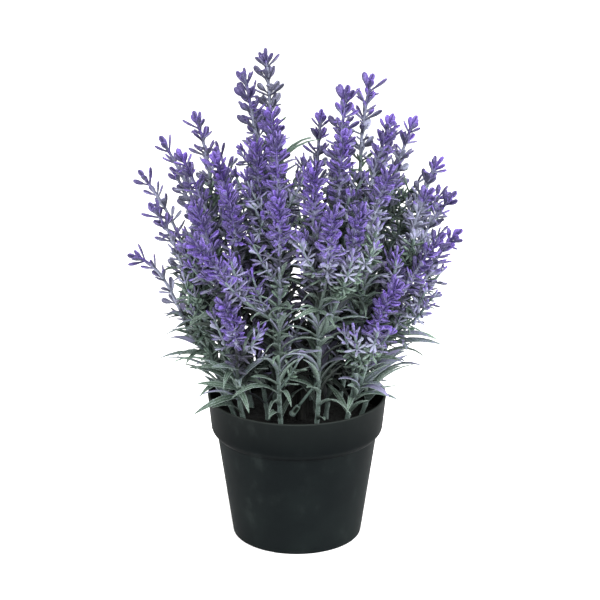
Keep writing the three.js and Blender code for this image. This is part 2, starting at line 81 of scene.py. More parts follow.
# The height of the rim, the radius inside it, the top of the fill, and how far limbs keep off
RIM_Z = 87
MOUTH_RADIUS = 48.5
FILL_TOP = 73
POT_CLEARANCE = 1.6

# The thick of the bush: its top, its radius at the table, and how that grows upwards and rightwards
BUSH_TOP = 234
BUSH_RADIUS = 26
BUSH_WIDENING = 0.32
BUSH_SLANT = 0.12

# The way to the light of the painted light and shade, which is also the spray gun's way: how much of it
# points outwards, and the part that is the same everywhere
GUN_AND_LIGHT_OUTWARD = 0.6
GUN_AND_LIGHT_ALWAYS = (0.15, 0, 0.8)

# A whorl that is no more violet than this is part of the leafy piece
LEAST_VIOLET = 0.22

# How much of its violet a club may lack, by a draw
DUSTING_LOSS = 0.25

# How many numbers a whorl sets aside for its clubs, and where those of the side shoots start
WHORL_NUMBERS = 8
TWIG_LIMBS = 2000

# A limb that would cross another is turned (degrees), lifted and shortened, in this order.
TRIES = (
    (0, 1, 1), (20, 1, 1), (-20, 1, 1), (0, 0.75, 1), (35, 0.9, 1), (-35, 0.9, 1), (55, 1, 0.9),
    (-55, 1, 0.9), (15, 0.6, 0.85), (-15, 0.6, 0.85), (40, 0.7, 0.8), (-40, 0.7, 0.8), (0, 0.5, 0.75),
)

Vec = np.ndarray
Triple = tuple[float, float, float]


class Slot(Enum):
    """The record's material slots."""

    POT = "pot_plastic"
    FILL = "fill"
    CORE = "core_stem"
    FOLIAGE = "foliage"
    FLOWER = "flower"


class Purpose(Enum):
    """What a repeatable draw is for."""

    HEAD_LENGTH = 1
    TOP_ROLL = 2
    WHORL_HEADING = 3
    CLUB_AZIMUTH = 4
    CLUB_FACE = 5
    CLUB_ROLL = 6
    CLUB_LENGTH = 7
    PAIR_HEADING = 8
    LEAF_AZIMUTH = 9
    LEAF_RISE = 10
    LEAF_CURL = 11
    LEAF_LENGTH = 12
    LEAF_PITCH = 13
    CORE_TOP = 14
    TWIST = 15
    TONE = 16
    DUSTING = 17
    WIDTH = 18
    CORE_RIDGE = 19
    BEND = 20
    TWIG_HEADING = 21
    TWIG_LENGTH = 22


def draw(limb: int, place: int, purpose: Purpose) -> float:
    """A repeatable draw between 0 and 1.

    Args:
        limb: The number of the stem that the draw is for.
        place: A place on that stem.
        purpose: What the draw is for.

    Returns:
        The same number for the same three arguments.
    """
    modulus = 2147483647
    state = (limb * 7919 + place * 104729 + purpose.value * 15485863 + 1) % modulus
    for _ in range(3):
        state = (state * 48271) % modulus
    return state / modulus


def sway(limb: int, place: int, purpose: Purpose, half: float) -> float:
    """A repeatable draw between -half and +half."""
    return (2 * draw(limb, place, purpose) - 1) * half


def vec(*numbers: float) -> Vec:
    """A point or direction."""
    return np.array(numbers, float)


def unit(direction: Vec) -> Vec:
    """The direction with a length of 1."""
    return direction / np.linalg.norm(direction)


def lerp(low: float, high: float, share: float) -> float:
    """The number that lies a share of the way from low to high."""
    return low + (high - low) * share


def clamp(number: float, low: float = 0.0, high: float = 1.0) -> float:
    """The number, or the limit that it passes."""
    return min(max(number, low), high)


class Place(NamedTuple):
    """A point on a stem, with the stem's direction and two directions across it."""

    point: Vec
    tangent: Vec
    side: Vec
    across: Vec

    def outward(self, azimuth: float) -> Vec:
        """The direction across the stem at an angle round it."""
        return math.cos(azimuth) * self.side + math.sin(azimuth) * self.across

    def root(self, azimuth: float) -> Vec:
        """Where a limb at that angle starts, inside the stem."""
        return self.point - ROOT_SINK * (self.outward(azimuth) + self.tangent)


class Route:
    """A way along a stem, with directions across it that turn as little as they can."""

    FIRST_SIDE = (0.6, -0.8, 0)
    LEAST_LEG = 1.0
    SMOOTHING = 0.8

    def __init__(self, points: Vec) -> None:
        """Measures the way through a row of points.

        Args:
            points: The points, one to a row.
        """
        legs = np.diff(points, axis=0)
        lengths = np.linalg.norm(legs, axis=1)
        self.points = points
        self.marks = np.concatenate([[0.0], np.cumsum(lengths)])
        self.tangents = legs / lengths[:, None]
        self.sides = np.empty_like(legs)
        side = vec(*self.FIRST_SIDE)
        for leg, tangent in enumerate(self.tangents):
            side = unit(side - side.dot(tangent) * tangent)
            self.sides[leg] = side

    @property
    def length(self) -> float:
        """The length of the whole way."""
        return float(self.marks[-1])

    def at(self, distance: float) -> Place:
        """The place at a distance along the way."""
        leg = int(np.clip(np.searchsorted(self.marks, distance) - 1, 0, len(self.tangents) - 1))
        tangent, side = self.tangents[leg], self.sides[leg]
        point = self.points[leg] + tangent * (distance - self.marks[leg])
        return Place(point, tangent, side, np.cross(tangent, side))

    def between(self, start: float, end: float) -> Vec:
        """The points between two distances, with both ends."""
        inner = (self.marks > start + self.LEAST_LEG) & (self.marks < end - self.LEAST_LEG)
        return np.vstack([self.at(start).point, self.points[inner], self.at(end).point])

    def rings(self, marks: Sequence[float], radii: Sequence[float], outline: Vec) -> Vec:
        """Rings square to the way.

        Args:
            marks: How far along the way each ring lies.
            radii: The size of each ring.
            outline: The ring's points across the way, two numbers to a row, for a size of 1.

        Returns:
            An array of rings, points and coordinates.
        """
        rings = np.empty((len(marks), len(outline), 3))
        for row, (mark, radius) in enumerate(zip(marks, radii)):
            before = self.at(max(mark - self.SMOOTHING, 0))
            after = self.at(min(mark + self.SMOOTHING, self.length))
            tangent = unit(before.tangent + after.tangent)
            side = unit(before.side - before.side.dot(tangent) * tangent)
            crossways = np.stack([side, np.cross(tangent, side)])
            rings[row] = self.at(mark).point + radius * outline @ crossways
        return rings


def way_between(start: Vec, leaving: Vec, arriving: Vec, end: Vec, bend: float, steps: int) -> Route:
    """A smooth way that leaves and arrives along given directions.

    Args:
        start: Where the way starts.
        leaving: Its direction there.
        arriving: Its direction at its end.
        end: Where the way ends.
        bend: How far each direction is kept, as a share of the straight distance.
        steps: How many legs the way has.

    Returns:
        The way.
    """
    reach = bend * np.linalg.norm(end - start)
    t = np.linspace(0, 1, steps + 1)[:, None]
    first, second = start + leaving * reach, end - arriving * reach
    return Route(
        (1 - t) ** 3 * start + 3 * (1 - t) ** 2 * t * first + 3 * (1 - t) * t**2 * second + t**3 * end
    )


class Rod(NamedTuple):
    """A straight stretch of a limb. A blade is the outer part of a leaf or club."""

    start: Vec
    end: Vec
    radius: float
    blade: bool = False


class Gaps(NamedTuple):
    """The gaps that a limb's rods keep. A rod is thicker than the blade in it."""

    stems: float
    blades: float
    own_blades: float


class Fit(Enum):
    """How much room a limb asks for."""

    MAIN = Gaps(0.3, 0.3, -0.6)
    LOOSE = Gaps(-0.1, -1.5, -2.1)
    TWIG = Gaps(0.1, -0.9, 0.0)


class Room:
    """Every limb placed so far, as rods, and the room that is left among them.

    The painted shade on a point comes from the rods that lie within a radius of its way towards the light,
    from a start to an end along that way. FADE_RODS of them let about a third of the light through at the
    table, and it takes one more for each FADE_RISE of height.
    """

    CAPACITY = 60000
    SHADE_START = 4
    SHADE_END = 50
    SHADE_RADIUS = 6
    FADE_RODS = 6
    FADE_RISE = 18

    def __init__(self) -> None:
        """Starts with no limb placed."""
        self.count = 0
        self.starts = np.zeros((self.CAPACITY, 3))
        self.ends = np.zeros((self.CAPACITY, 3))
        self.middles = np.zeros((self.CAPACITY, 3))
        self.reaches = np.zeros(self.CAPACITY)
        self.radii = np.zeros(self.CAPACITY)
        self.blades = np.zeros(self.CAPACITY, bool)
        self.owners = np.zeros(self.CAPACITY, int)
        self.numbers: dict[str, int] = {}

    def number(self, owner: str) -> int:
        """The number that stands for a piece."""
        return self.numbers.setdefault(owner, len(self.numbers))

    def keep(self, owner: str, rods: Sequence[Rod]) -> None:
        """Places the rods of a limb of a piece."""
        for rod in rods:
            row = self.count
            self.starts[row], self.ends[row] = rod.start, rod.end
            self.middles[row] = (rod.start + rod.end) / 2
            self.reaches[row] = math.dist(rod.start, rod.end) / 2 + rod.radius
            self.radii[row], self.blades[row] = rod.radius, rod.blade
            self.owners[row] = self.number(owner)
            self.count += 1

    def keep_way(self, owner: str, points: Vec, radius: float) -> None:
        """Places a rod for each leg between a row of points."""
        self.keep(owner, [Rod(a, b, radius) for a, b in zip(points[:-1], points[1:])])

    def is_clear(self, owner: str, rods: Sequence[Rod], fit: Fit) -> bool:
        """Whether a limb keeps its gaps to all that is placed.

        Args:
            owner: The piece that the limb belongs to.
            rods: The limb's rods.
            fit: How much room it asks for.

        Returns:
            False if any rod is too near to another piece, or a blade to its own piece's blades.
        """
        mine, gaps = self.number(owner), fit.value
        for rod in rods:
            reach = math.dist(rod.start, rod.end) / 2 + rod.radius + max(gaps)
            away = self.middles[: self.count] - (rod.start + rod.end) / 2
            limits = reach + self.reaches[: self.count]
            rows = np.nonzero(np.einsum("ij,ij->i", away, away) < limits * limits)[0]
            own = self.owners[rows] == mine
            met = ~own | (self.blades[rows] & rod.blade)
            rows, own = rows[met], own[met]
            if not len(rows):
                continue
            apart = rod_distances(rod.start, rod.end, self.starts[rows], self.ends[rows])
            asked = np.where(self.blades[rows], gaps.blades, gaps.stems)
            asked = np.where(own, gaps.own_blades, asked)
            if np.any(apart - rod.radius - self.radii[rows] <= asked):
                return False
        return True

    def reached(self, owner: str, points: Vec) -> Vec:
        """How much light from above and outside gets to points past the other pieces, which sets their
        painted shade.

        Args:
            owner: The piece that the points are on.
            points: The points, one to a row.

        Returns:
            A number for each point, 1 where nothing is in the way and nearly 0 deep inside.
        """
        others = self.owners[: self.count] != self.number(owner)
        middles = self.middles[: self.count][others]
        in_the_way = np.empty(len(points))
        for row, (point, gun) in enumerate(zip(points, towards_gun_and_light(points))):
            away = middles - point
            ahead = away @ gun
            beside = np.einsum("ij,ij->i", away, away) - ahead * ahead
            near = (ahead > self.SHADE_START) & (ahead < self.SHADE_END)
            in_the_way[row] = np.count_nonzero(near & (beside < self.SHADE_RADIUS**2))
        return np.exp(-in_the_way / (self.FADE_RODS + points[:, 2] / self.FADE_RISE))


def towards_gun_and_light(points: Vec) -> Vec:
    """The way to the light that the painted light and shade come from, which is also the way to a spray gun
    that goes round above the bush and outside it, mostly on the right.

    Args:
        points: The points that it is seen from, one to a row.

    Returns:
        A direction for each point.
    """
    outward = points * np.array([1, 1, 0])
    outward /= np.linalg.norm(outward, axis=1, keepdims=True) + 1
    ways = GUN_AND_LIGHT_OUTWARD * outward + np.array(GUN_AND_LIGHT_ALWAYS)
    return ways / np.linalg.norm(ways, axis=1, keepdims=True)


def rod_distances(start: Vec, end: Vec, starts: Vec, ends: Vec) -> Vec:
    """The shortest distances between one straight segment and each of several.

    Args:
        start: The one segment's start.
        end: Its end.
        starts: The others' starts, one to a row.
        ends: Their ends.

    Returns:
        A distance for each of the others.
    """
    first, second, between = end - start, ends - starts, start - starts
    first_square = first @ first
    second_square = (second * second).sum(1)
    cross, along_first = second @ first, between @ first
    along_second = (second * between).sum(1)
    spread = first_square * second_square - cross * cross
    skew = spread > 1e-9
    safe = np.where(skew, spread, 1)
    s = np.where(skew, (cross * along_second - along_first * second_square) / safe, 0).clip(0, 1)
    t = (cross * s + along_second) / second_square
    s = np.where(t < 0, (-along_first / first_square).clip(0, 1), s)
    s = np.where(t > 1, ((cross - along_first) / first_square).clip(0, 1), s)
    t = t.clip(0, 1)
    return np.linalg.norm(between + s[:, None] * first - t[:, None] * second, axis=1)


class Paint(NamedTuple):
    """What the finishes read on a surface, each a number or an array that fits its rings.

    along is 0 at a limb's root and 1 at its tip, rib is 1 on its raised lines, tone is drawn for each limb,
    violet is how much of the flower's colour it carries, and the last is the painted shade: 1 where no
    other limb lies towards the light, and near 0 deep inside the bush.
    """

    along: float | Vec = 0.0
    rib: float | Vec = 0.0
    tone: float | Vec = 0.5
    violet: float | Vec = 0.0
    reached: float | Vec = 1.0


class Skin:
    """The vertices, faces and paint of one mesh as it grows."""

    def __init__(self) -> None:
        """Starts with nothing."""
        self.points: list[Vec] = []
        self.faces: list[list[int]] = []
        self.paint: dict[str, list[Vec]] = {name: [] for name in Paint._fields}
        self.count = 0

    def loft(self, rings: Vec, paint: Paint, end: Vec, start: Vec | None = None) -> None:
        """Adds a closed skin over a row of rings.

        Args:
            rings: The rings, anticlockwise about the way that they follow.
            paint: The paint on the rings.
            end: The point that closes the last ring.
            start: The point that closes the first ring, or its middle without one.
        """
        if start is None:
            start = rings[0].mean(0)
        rows, sides = rings.shape[:2]
        corners = self.count + np.arange(rows * sides).reshape(rows, sides)
        turned = np.roll(corners, -1, axis=1)
        quads = np.stack([corners[:-1], turned[:-1], turned[1:], corners[1:]], axis=-1)
        self.faces += quads.reshape(-1, 4).tolist()
        self.points.append(rings.reshape(-1, 3))
        values = {n: np.broadcast_to(v, (rows, sides)) for n, v in paint._asdict().items()}
        for name, value in values.items():
            self.paint[name].append(value.reshape(-1))
        self.count += rows * sides
        self._close(corners[0][::-1], start, {n: v[0].mean() for n, v in values.items()})
        self._close(corners[-1], end, {n: v[-1].mean() for n, v in values.items()})

    def _close(self, ring: Vec, tip: Vec, values: dict[str, float]) -> None:
        """Closes a ring with a fan to a tip."""
        self.faces += [[a, b, self.count] for a, b in zip(ring.tolist(), np.roll(ring, -1).tolist())]
        self.points.append(tip.reshape(1, 3))
        for name, value in values.items():
            self.paint[name].append(np.array([value]))
        self.count += 1

    def piece(self, name: str, material: bpy.types.Material, slot: Slot, node: str | None) -> None:
        """Makes the mesh and sets it in the frame.

        Args:
            name: The piece's name.
            material: Its finish.
            slot: The record's slot for that finish; not used.
            node: The frame's node that it stands for, if there is one.
        """
        mesh = bpy.data.meshes.new(name)
        points = np.concatenate(self.points)
        mesh.from_pydata(points * MM, [], self.faces)
        mesh.shade_smooth()
        paint = {paint_name: np.concatenate(values) for paint_name, values in self.paint.items()}
        paint["sprayed"] = sprayed(points, mesh)
        for paint_name, values in paint.items():
            layer = mesh.attributes.new(paint_name, "FLOAT", "POINT")
            layer.data.foreach_set("value", values.astype(np.float32))
        mesh.materials.append(material)
        piece = bpy.data.objects.new(name, mesh)
        bpy.context.scene.collection.objects.link(piece)
        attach(piece, BODY)
        if node:
            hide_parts(node)
        triangles = sum(len(face) - 2 for face in self.faces)
        LOG.info("%s stands for %s with %d triangles", name, node, triangles)


def sprayed(points: Vec, mesh: bpy.types.Mesh) -> Vec:
    """How squarely each vertex faces the spray gun and the light, for the violet dusting and for the
    painted light.

    Args:
        points: The vertices' places.
        mesh: The mesh, for its normals.

    Returns:
        A number for each vertex, 1 where it faces them and 0 where it faces away.
    """
    normals = np.empty(len(points) * 3, np.float32)
    mesh.vertex_normals.foreach_get("vector", normals)
    return 0.5 + 0.5 * (normals.reshape(-1, 3) * towards_gun_and_light(points)).sum(1)


def even_angles(sides: int) -> Vec:
    """Evenly spaced angles, one for each side."""
    return TURN * np.arange(sides) / sides


def outline_of(radii: Vec) -> Vec:
    """An outline from its radius at each of as many even angles, two numbers to a row."""
    angles = even_angles(len(radii))
    return np.stack([radii * np.cos(angles), radii * np.sin(angles)], axis=1)


def circle(sides: int) -> Vec:
    """A round outline of size 1."""
    return outline_of(np.ones(sides))


class Form:
    """The outline of a blade from its root, and the section that it has all along."""

    def __init__(self, outline: Sequence[Sequence[float]], section: Sequence[Sequence[float]]) -> None:
        """Sets the outline and the section.

        Args:
            outline: How far along each station lies, and half the width and half the thickness
                there, as shares of the blade's length, half width and half thickness.
            section: The same round each station: across, deep, and how much of a ridge it is.
        """
        self.marks, self.widths, self.depths = np.array(outline).T[:, :, None]
        self.across, self.deep, self.ridge = np.array(section).T


CLUB = Form(
    [
        (0.00, 0.40, 0.95), (0.18, 0.29, 0.80), (0.36, 0.38, 0.85), (0.52, 0.74, 0.95),
        (0.66, 0.97, 1.00), (0.80, 1.00, 0.95), (0.91, 0.80, 0.80), (0.98, 0.42, 0.55),
    ],
    [
        (1, 0, 0.9), (0.7, 0.8, 1), (0, 0.3, 0), (-0.7, 0.8, 1), (-1, 0, 0.9),
        (-0.6, -0.8, 0.3), (0, -1, 0.6), (0.6, -0.8, 0.3),
    ],
)

SMALL_CLUB = Form(
    [
        (0.00, 0.42, 0.95), (0.24, 0.34, 0.80), (0.46, 0.66, 0.90), (0.72, 1.00, 1.00),
        (0.90, 0.84, 0.85), (0.98, 0.42, 0.55),
    ],
    [(1, 0, 1), (0.55, 0.7, 0.6), (0, 0.4, 0), (-0.55, 0.7, 0.6), (-1, 0, 1), (0, -1, 0.4)],
)

PETAL = Form(
    [(0.00, 0.50, 0.9), (0.30, 0.66, 0.9), (0.62, 1.00, 1.0), (0.86, 0.70, 0.8), (0.97, 0.30, 0.5)],
    [(1, 0, 1.0), (0, 1, 0.1), (-1, 0, 1.0), (0, -1, 0.5)],
)

# A leaf's deep is measured from the fold's surface, in shares of its thickness that Leaf sets.
LEAF = Form(
    [
        (0.00, 0.62, 1.00), (0.11, 0.58, 1.00), (0.26, 0.92, 0.92), (0.44, 1.00, 0.82),
        (0.62, 0.87, 0.75), (0.78, 0.61, 0.65), (0.90, 0.33, 0.55), (0.965, 0.14, 0.45),
    ],
    [
        (1, -1, 0.8), (1, 1, 1), (0.5, 1, 0), (0, 1.3, 0.6), (-0.5, 1, 0), (-1, 1, 1),
        (-1, -1, 0.8), (0, -3.2, 0.5),
    ],
)

# How far up the fold each point of a leaf's section lies
LEAF_FOLD = np.array([1.0, 1.0, 0.25, 0.12, 0.25, 1.0, 1.0, 0.0])

# How the length of a long leaf and of a short one is shared out among their rods
LONG_SPANS = (0.36, 0.34, 0.3)
SHORT_SPANS = (0.52, 0.48)


class Coat(NamedTuple):
    """How one limb is coloured, in the words of Paint."""

    tone: float
    violet: float
    reached: float = 1.0


@dataclass(frozen=True)
class Club:
    """A flat round-ended club on a thin neck, which leans out from a stem."""

    place: Place
    azimuth: float
    lean: float
    length: float
    roll: float
    width: float = 3.4
    form: Form = CLUB
    thickness: float = 1.4
    hook: float = 0.09
    neck_ridge: float = 0.3
    rod_share: float = 0.437
    rod_ends: tuple[float, float] = (0.48, 0.88)

    @property
    def along(self) -> Vec:
        """The club's direction."""
        out = self.place.outward(self.azimuth)
        return math.cos(self.lean) * self.place.tangent + math.sin(self.lean) * out

    @property
    def wide(self) -> Vec:
        """The direction across its flat face."""
        tangent = np.cross(self.place.tangent, self.place.outward(self.azimuth))
        return math.cos(self.roll) * tangent + math.sin(self.roll) * np.cross(self.along, tangent)

    def rods(self) -> list[Rod]:
        """The room that the club takes."""
        root = self.place.root(self.azimuth)
        start, end = (root + self.along * self.length * share for share in self.rod_ends)
        return [Rod(start, end, self.width * self.rod_share, True)]

    def grow(self, skin: Skin, coat: Coat) -> None:
        """Adds the club to a mesh.

        Args:
            skin: The mesh.
            coat: How it is coloured.
        """
        form, along, wide = self.form, self.along, self.wide
        thick = np.cross(along, wide)
        upward = self.place.tangent - self.place.tangent.dot(along) * along
        reach = self.length * np.vstack([form.marks, [1.0]])
        root = self.place.root(self.azimuth)
        line = root + reach * along + self.hook * reach**2 / self.length * upward
        across = self.width / 2 * form.widths * form.across
        deep = self.thickness / 2 * form.depths * form.deep
        rings = line[:-1, None] + across[..., None] * wide + deep[..., None] * thick
        ridge = form.ridge * lerp(self.neck_ridge, 1, form.widths)
        skin.loft(rings, Paint(form.marks, ridge, *coat), line[-1])


@dataclass(frozen=True)
class Leaf:
    """A narrow pointed leaf with a crease, which arches outwards from its stem."""

    place: Place
    azimuth: float
    rise: float
    curl: float
    length: float
    twist: float = 0.0
    width: float = 2.9
    fold: float = 0.36
    thickness: float = 0.75
    deep_share: float = 0.22
    curl_start: float = 0.18
    curl_span: float = 0.72
    most_curl: float = 1.12
    long: float = 22
    rod_width: float = 2.9
    rod_taper: float = 0.85

    def heading(self, angle: Vec) -> Vec:
        """The direction at each angle from the stem."""
        cosines, sines = np.cos(angle)[..., None], np.sin(angle)[..., None]
        return cosines * self.place.tangent + sines * self.place.outward(self.azimuth)

    def rods(self) -> list[Rod]:
        """The room that the leaf takes."""
        spans = LONG_SPANS if self.length > self.long else SHORT_SPANS
        last = len(spans) - 1
        point, rods = self.place.root(self.azimuth), []
        for i, span in enumerate(spans):
            end = point + self.heading(np.array(self.rise + self.curl * i / last)) * self.length * span
            half = self.rod_width / 2 * (1 if i == 0 else self.rod_taper)
            rods.append(Rod(point, end, half * self.rod_taper if i == last else half, i > 0))
            point = end
        return rods

    def grow(self, skin: Skin, coat: Coat) -> None:
        """Adds the leaf to a mesh.

        Args:
            skin: The mesh.
            coat: How it is coloured.
        """
        shares = np.append(LEAF.marks, 1.0)
        curled = ((shares - self.curl_start) / self.curl_span).clip(0, self.most_curl)
        angles = self.rise + self.curl * curled
        steps = np.diff(shares)[:, None] * self.length * self.heading((angles[1:] + angles[:-1]) / 2)
        line = self.place.root(self.azimuth) + np.vstack([np.zeros(3), np.cumsum(steps, axis=0)])
        along = self.heading(angles[:-1])
        flat = np.cross(self.place.tangent, self.place.outward(self.azimuth))
        turn = self.twist * LEAF.marks
        wide = np.cos(turn) * flat + np.sin(turn) * np.cross(along, flat)
        thick = np.cross(along, wide)
        half = self.width / 2 * LEAF.widths
        body = self.thickness * self.deep_share * LEAF.depths * LEAF.deep
        deep = self.fold * half * LEAF_FOLD + body
        across = (half * LEAF.across)[..., None] * wide[:, None]
        rings = line[:-1, None] + across + deep[..., None] * thick[:, None]
        skin.loft(rings, Paint(LEAF.marks, LEAF.ridge, *coat), line[-1])


Limb = Club | Leaf
Shape = Callable[[float, float, float], Limb]


def in_free_space(point: Vec) -> bool:
    """Whether a point is above the rim or well inside it, and within the frame's box."""
    inside = math.hypot(point[0], point[1]) < MOUTH_RADIUS - POT_CLEARANCE
    above = point[2] > RIM_Z + POT_CLEARANCE or (inside and point[2] > FILL_TOP + POT_CLEARANCE)
    return above and bool(np.all(point > BOX_LOW) and np.all(point < BOX_HIGH))


def in_bush(point: Vec) -> bool:
    """Whether a point is within the thick of the bush, which widens upwards and to the right."""
    x, y, z = point
    return z < BUSH_TOP and math.hypot(x, y) < BUSH_RADIUS + BUSH_WIDENING * z + BUSH_SLANT * x


class Growth:
    """The clubs and leaves of one piece."""

    def __init__(self, room: Room, owner: str) -> None:
        """Starts with none.

        Args:
            room: What is placed so far on all pieces.
            owner: The name that the piece's rods go by.
        """
        self.room = room
        self.owner = owner
        self.limbs: list[tuple[Limb, Coat]] = []

    def add(self, shape: Shape, coat: Coat, fit: Fit) -> None:
        """Grows a limb in the first of its tried shapes that crosses nothing, or not at all.

        Args:
            shape: What makes it for a turn, a lift and a size.
            coat: How it is coloured.
            fit: How much room it asks for.
        """
        for turn, lift, size in TRIES:
            limb = shape(math.radians(turn), lift, size)
            rods = limb.rods()
            if all(in_free_space(rod.end) for rod in rods) and self.room.is_clear(self.owner, rods, fit):
                self.room.keep(self.owner, rods)
                self.limbs.append((limb, coat))
                return

    def cover(self, skin: Skin) -> None:
        """Adds all of them to a mesh."""
        starts = np.array([limb.rods()[-1].start for limb, _ in self.limbs])
        # Painted shade: each limb is darkened by the other pieces that lie towards the light.
        shares = self.room.reached(self.owner, starts)
        for (limb, coat), reached in zip(self.limbs, shares):
            limb.grow(skin, coat._replace(reached=reached))


def colour(red: float, green: float, blue: float) -> tuple[float, float, float, float]:
    """A colour for a shader from its screen values of 0 to 255."""
    shares = (red / 255, green / 255, blue / 255)
    linear = (c / 12.92 if c <= 0.04045 else ((c + 0.055) / 1.055) ** 2.4 for c in shares)
    return (*linear, 1.0)


Colour = tuple[float, float, float, float]
Settings = dict[str, object]
Inputs = dict[str | int, object]


class Value:
    """A number that a shader works out, which can stand in sums."""

    def __init__(self, shader: "Shader", socket: bpy.types.NodeSocket) -> None:
        """Wraps a socket.

        Args:
            shader: The material that it belongs to.
            socket: The output that carries the number.
        """
        self.shader = shader
        self.socket = socket

    def _with(self, operation: str, first: "Value | float", second: "Value | float") -> "Value":
        """The result of a Math node."""
        return self.shader.value("ShaderNodeMath", {"operation": operation}, {0: first, 1: second})

    def __add__(self, other: "Value | float") -> "Value":
        """The sum."""
        return self._with("ADD", self, other)

    def __radd__(self, other: float) -> "Value":
        """The sum."""
        return self._with("ADD", other, self)

    def __sub__(self, other: "Value | float") -> "Value":
        """The difference."""
        return self._with("SUBTRACT", self, other)

    def __rsub__(self, other: float) -> "Value":
        """The difference, the other way round."""
        return self._with("SUBTRACT", other, self)

    def __mul__(self, other: "Value | float") -> "Value":
        """The product."""
        return self._with("MULTIPLY", self, other)

    def __rmul__(self, other: float) -> "Value":
        """The product."""
        return self._with("MULTIPLY", other, self)

    def above(self, low: float, high: float) -> "Value":
        """0 up to low, 1 from high, and a smooth rise between them."""
        settings = {"interpolation_type": "SMOOTHSTEP"}
        return self.shader.value("ShaderNodeMapRange", settings, {"Value": self, 1: low, 2: high})


class Shader:
    """One node material while it is put together."""

    def __init__(self, name: str) -> None:
        """Starts a material with only its main shader.

        Args:
            name: The material's name.
        """
        self.material = bpy.data.materials.new(name)
        self.material.use_nodes = True
        self.tree = self.material.node_tree
        self.main = next(n for n in self.tree.nodes if n.type == "BSDF_PRINCIPLED")

    def node(self, kind: str, settings: Settings, inputs: Inputs) -> bpy.types.Node:
        """Adds a node.

        Args:
            kind: Its type.
            settings: Its own settings, which are set first.
            inputs: A value or a link for each of its sockets, by name or number.

        Returns:
            The node.
        """
        node = self.tree.nodes.new(kind)
        for name, setting in settings.items():
            setattr(node, name, setting)
        for name, given in inputs.items():
            self.feed(node.inputs[name], given)
        return node

    def feed(self, socket: bpy.types.NodeSocket, given: object) -> None:
        """Links a socket, or sets its value."""
        if isinstance(given, Value):
            given = given.socket
        if isinstance(given, bpy.types.NodeSocket):
            self.tree.links.new(given, socket)
        else:
            socket.default_value = given

    def value(self, kind: str, settings: Settings, inputs: Inputs) -> Value:
        """The first output of a new node, as a number."""
        return Value(self, self.node(kind, settings, inputs).outputs[0])

    def paint(self, name: str) -> Value:
        """The paint of that name on the surface."""
        node = self.node("ShaderNodeAttribute", {"attribute_name": name}, {})
        return Value(self, node.outputs["Fac"])

    def limb_paint(self) -> list[Value]:
        """A limb's paint: along, rib, tone, violet, how squarely it faces the gun and the light, and how
        far the painted shade spares it.
        """
        names = ("along", "rib", "tone", "violet", "sprayed", "reached")
        return [self.paint(name) for name in names]

    def noise(self, size: float, detail: float, stretch: Triple = (1, 1, 1)) -> Value:
        """Smooth noise over the surface.

        Args:
            size: How wide its patches are, in millimetres.
            detail: How many finer layers it has.
            stretch: How much finer it is along each axis.

        Returns:
            The noise, which is mostly between 0.3 and 0.7.
        """
        place = self.node("ShaderNodeTexCoord", {}, {}).outputs["Object"]
        scaled = self.node("ShaderNodeMapping", {}, {"Vector": place, "Scale": stretch}).outputs[0]
        inputs = {"Vector": scaled, "Scale": 1 / (size * MM), "Detail": detail}
        return self.value("ShaderNodeTexNoise", {}, inputs)

    def mix(self, share: "Value | float", first: object, second: object) -> bpy.types.NodeSocket:
        """The colour that lies a share of the way from the first to the second."""
        settings = {"data_type": "RGBA", "clamp_factor": True}
        return self.node("ShaderNodeMix", settings, {0: share, 6: first, 7: second}).outputs[2]

    def bump(self, height: Value, depth: float, strength: float = 1.0) -> bpy.types.NodeSocket:
        """The surface's normal with a relief of that depth in millimetres."""
        inputs = {"Height": height, "Distance": depth * MM, "Strength": strength}
        return self.node("ShaderNodeBump", {}, inputs).outputs[0]

    def dress(self, **given: object) -> bpy.types.Material:
        """Feeds the main shader's sockets, named with underscores for spaces.

        Args:
            **given: A value or a link for each socket.

        Returns:
            The finished material.
        """
        for name, value in given.items():
            self.feed(self.main.inputs[name.replace("_", " ").title().replace("Ior", "IOR")], value)
        return self.material


@dataclass(frozen=True)
class PotPlastic:
    """Near black satin plastic, a little scuffed and dusty, with a painted highlight along its lip and
    painted shade in the crease under the collar.
    """

    deep: Colour = colour(4, 6, 7)
    dark: Colour = colour(13, 17, 18)
    worn: Colour = colour(19, 24, 24)
    scuff: Colour = colour(48, 53, 52)
    lip_highlight: Colour = colour(44, 48, 46)

    def material(self) -> bpy.types.Material:
        """Builds the material."""
        shader = Shader("pot_plastic")
        cloud, grain = shader.noise(22, 4), shader.noise(0.6, 3)
        streak = shader.noise(9, 5, (1, 1, 0.6))
        base = shader.mix(cloud.above(0.35, 0.75) * 0.6, self.dark, self.worn)
        base = shader.mix(shader.paint("tone") * 0.65, base, self.deep)
        # Painted shade: a darker band in the crease under the collar.
        base = shader.mix(shader.paint("along"), base, self.deep)
        marks = streak.above(0.52, 0.74) * cloud.above(0.4, 0.65) + grain.above(0.66, 0.8) * 0.5
        base = shader.mix(marks * 0.22, base, self.scuff)
        # Painted highlight along the top of the lip, broken up by the streaks.
        base = shader.mix(shader.paint("rib") * (0.45 + 0.5 * streak), base, self.lip_highlight)
        rough = 0.46 + 0.16 * cloud + 0.2 * marks
        normal = shader.bump(grain + cloud * 2, 0.05, 0.5)
        return shader.dress(base_color=base, roughness=rough, normal=normal, specular_ior_level=0.02)


@dataclass(frozen=True)
class DarkFill:
    """The rough black plug in the pot."""

    dark: Colour = colour(10, 10, 9)
    pale: Colour = colour(22, 24, 23)

    def material(self) -> bpy.types.Material:
        """Builds the material."""
        shader = Shader("fill")
        lumps, grain = shader.noise(3.5, 4), shader.noise(0.7, 2)
        base = shader.mix(lumps.above(0.45, 0.75), self.dark, self.pale)
        normal = shader.bump(lumps + grain * 0.4, 1.2, 0.8)
        rough = 0.78 + 0.2 * grain
        return shader.dress(base_color=base, roughness=rough, normal=normal, specular_ior_level=0.2)


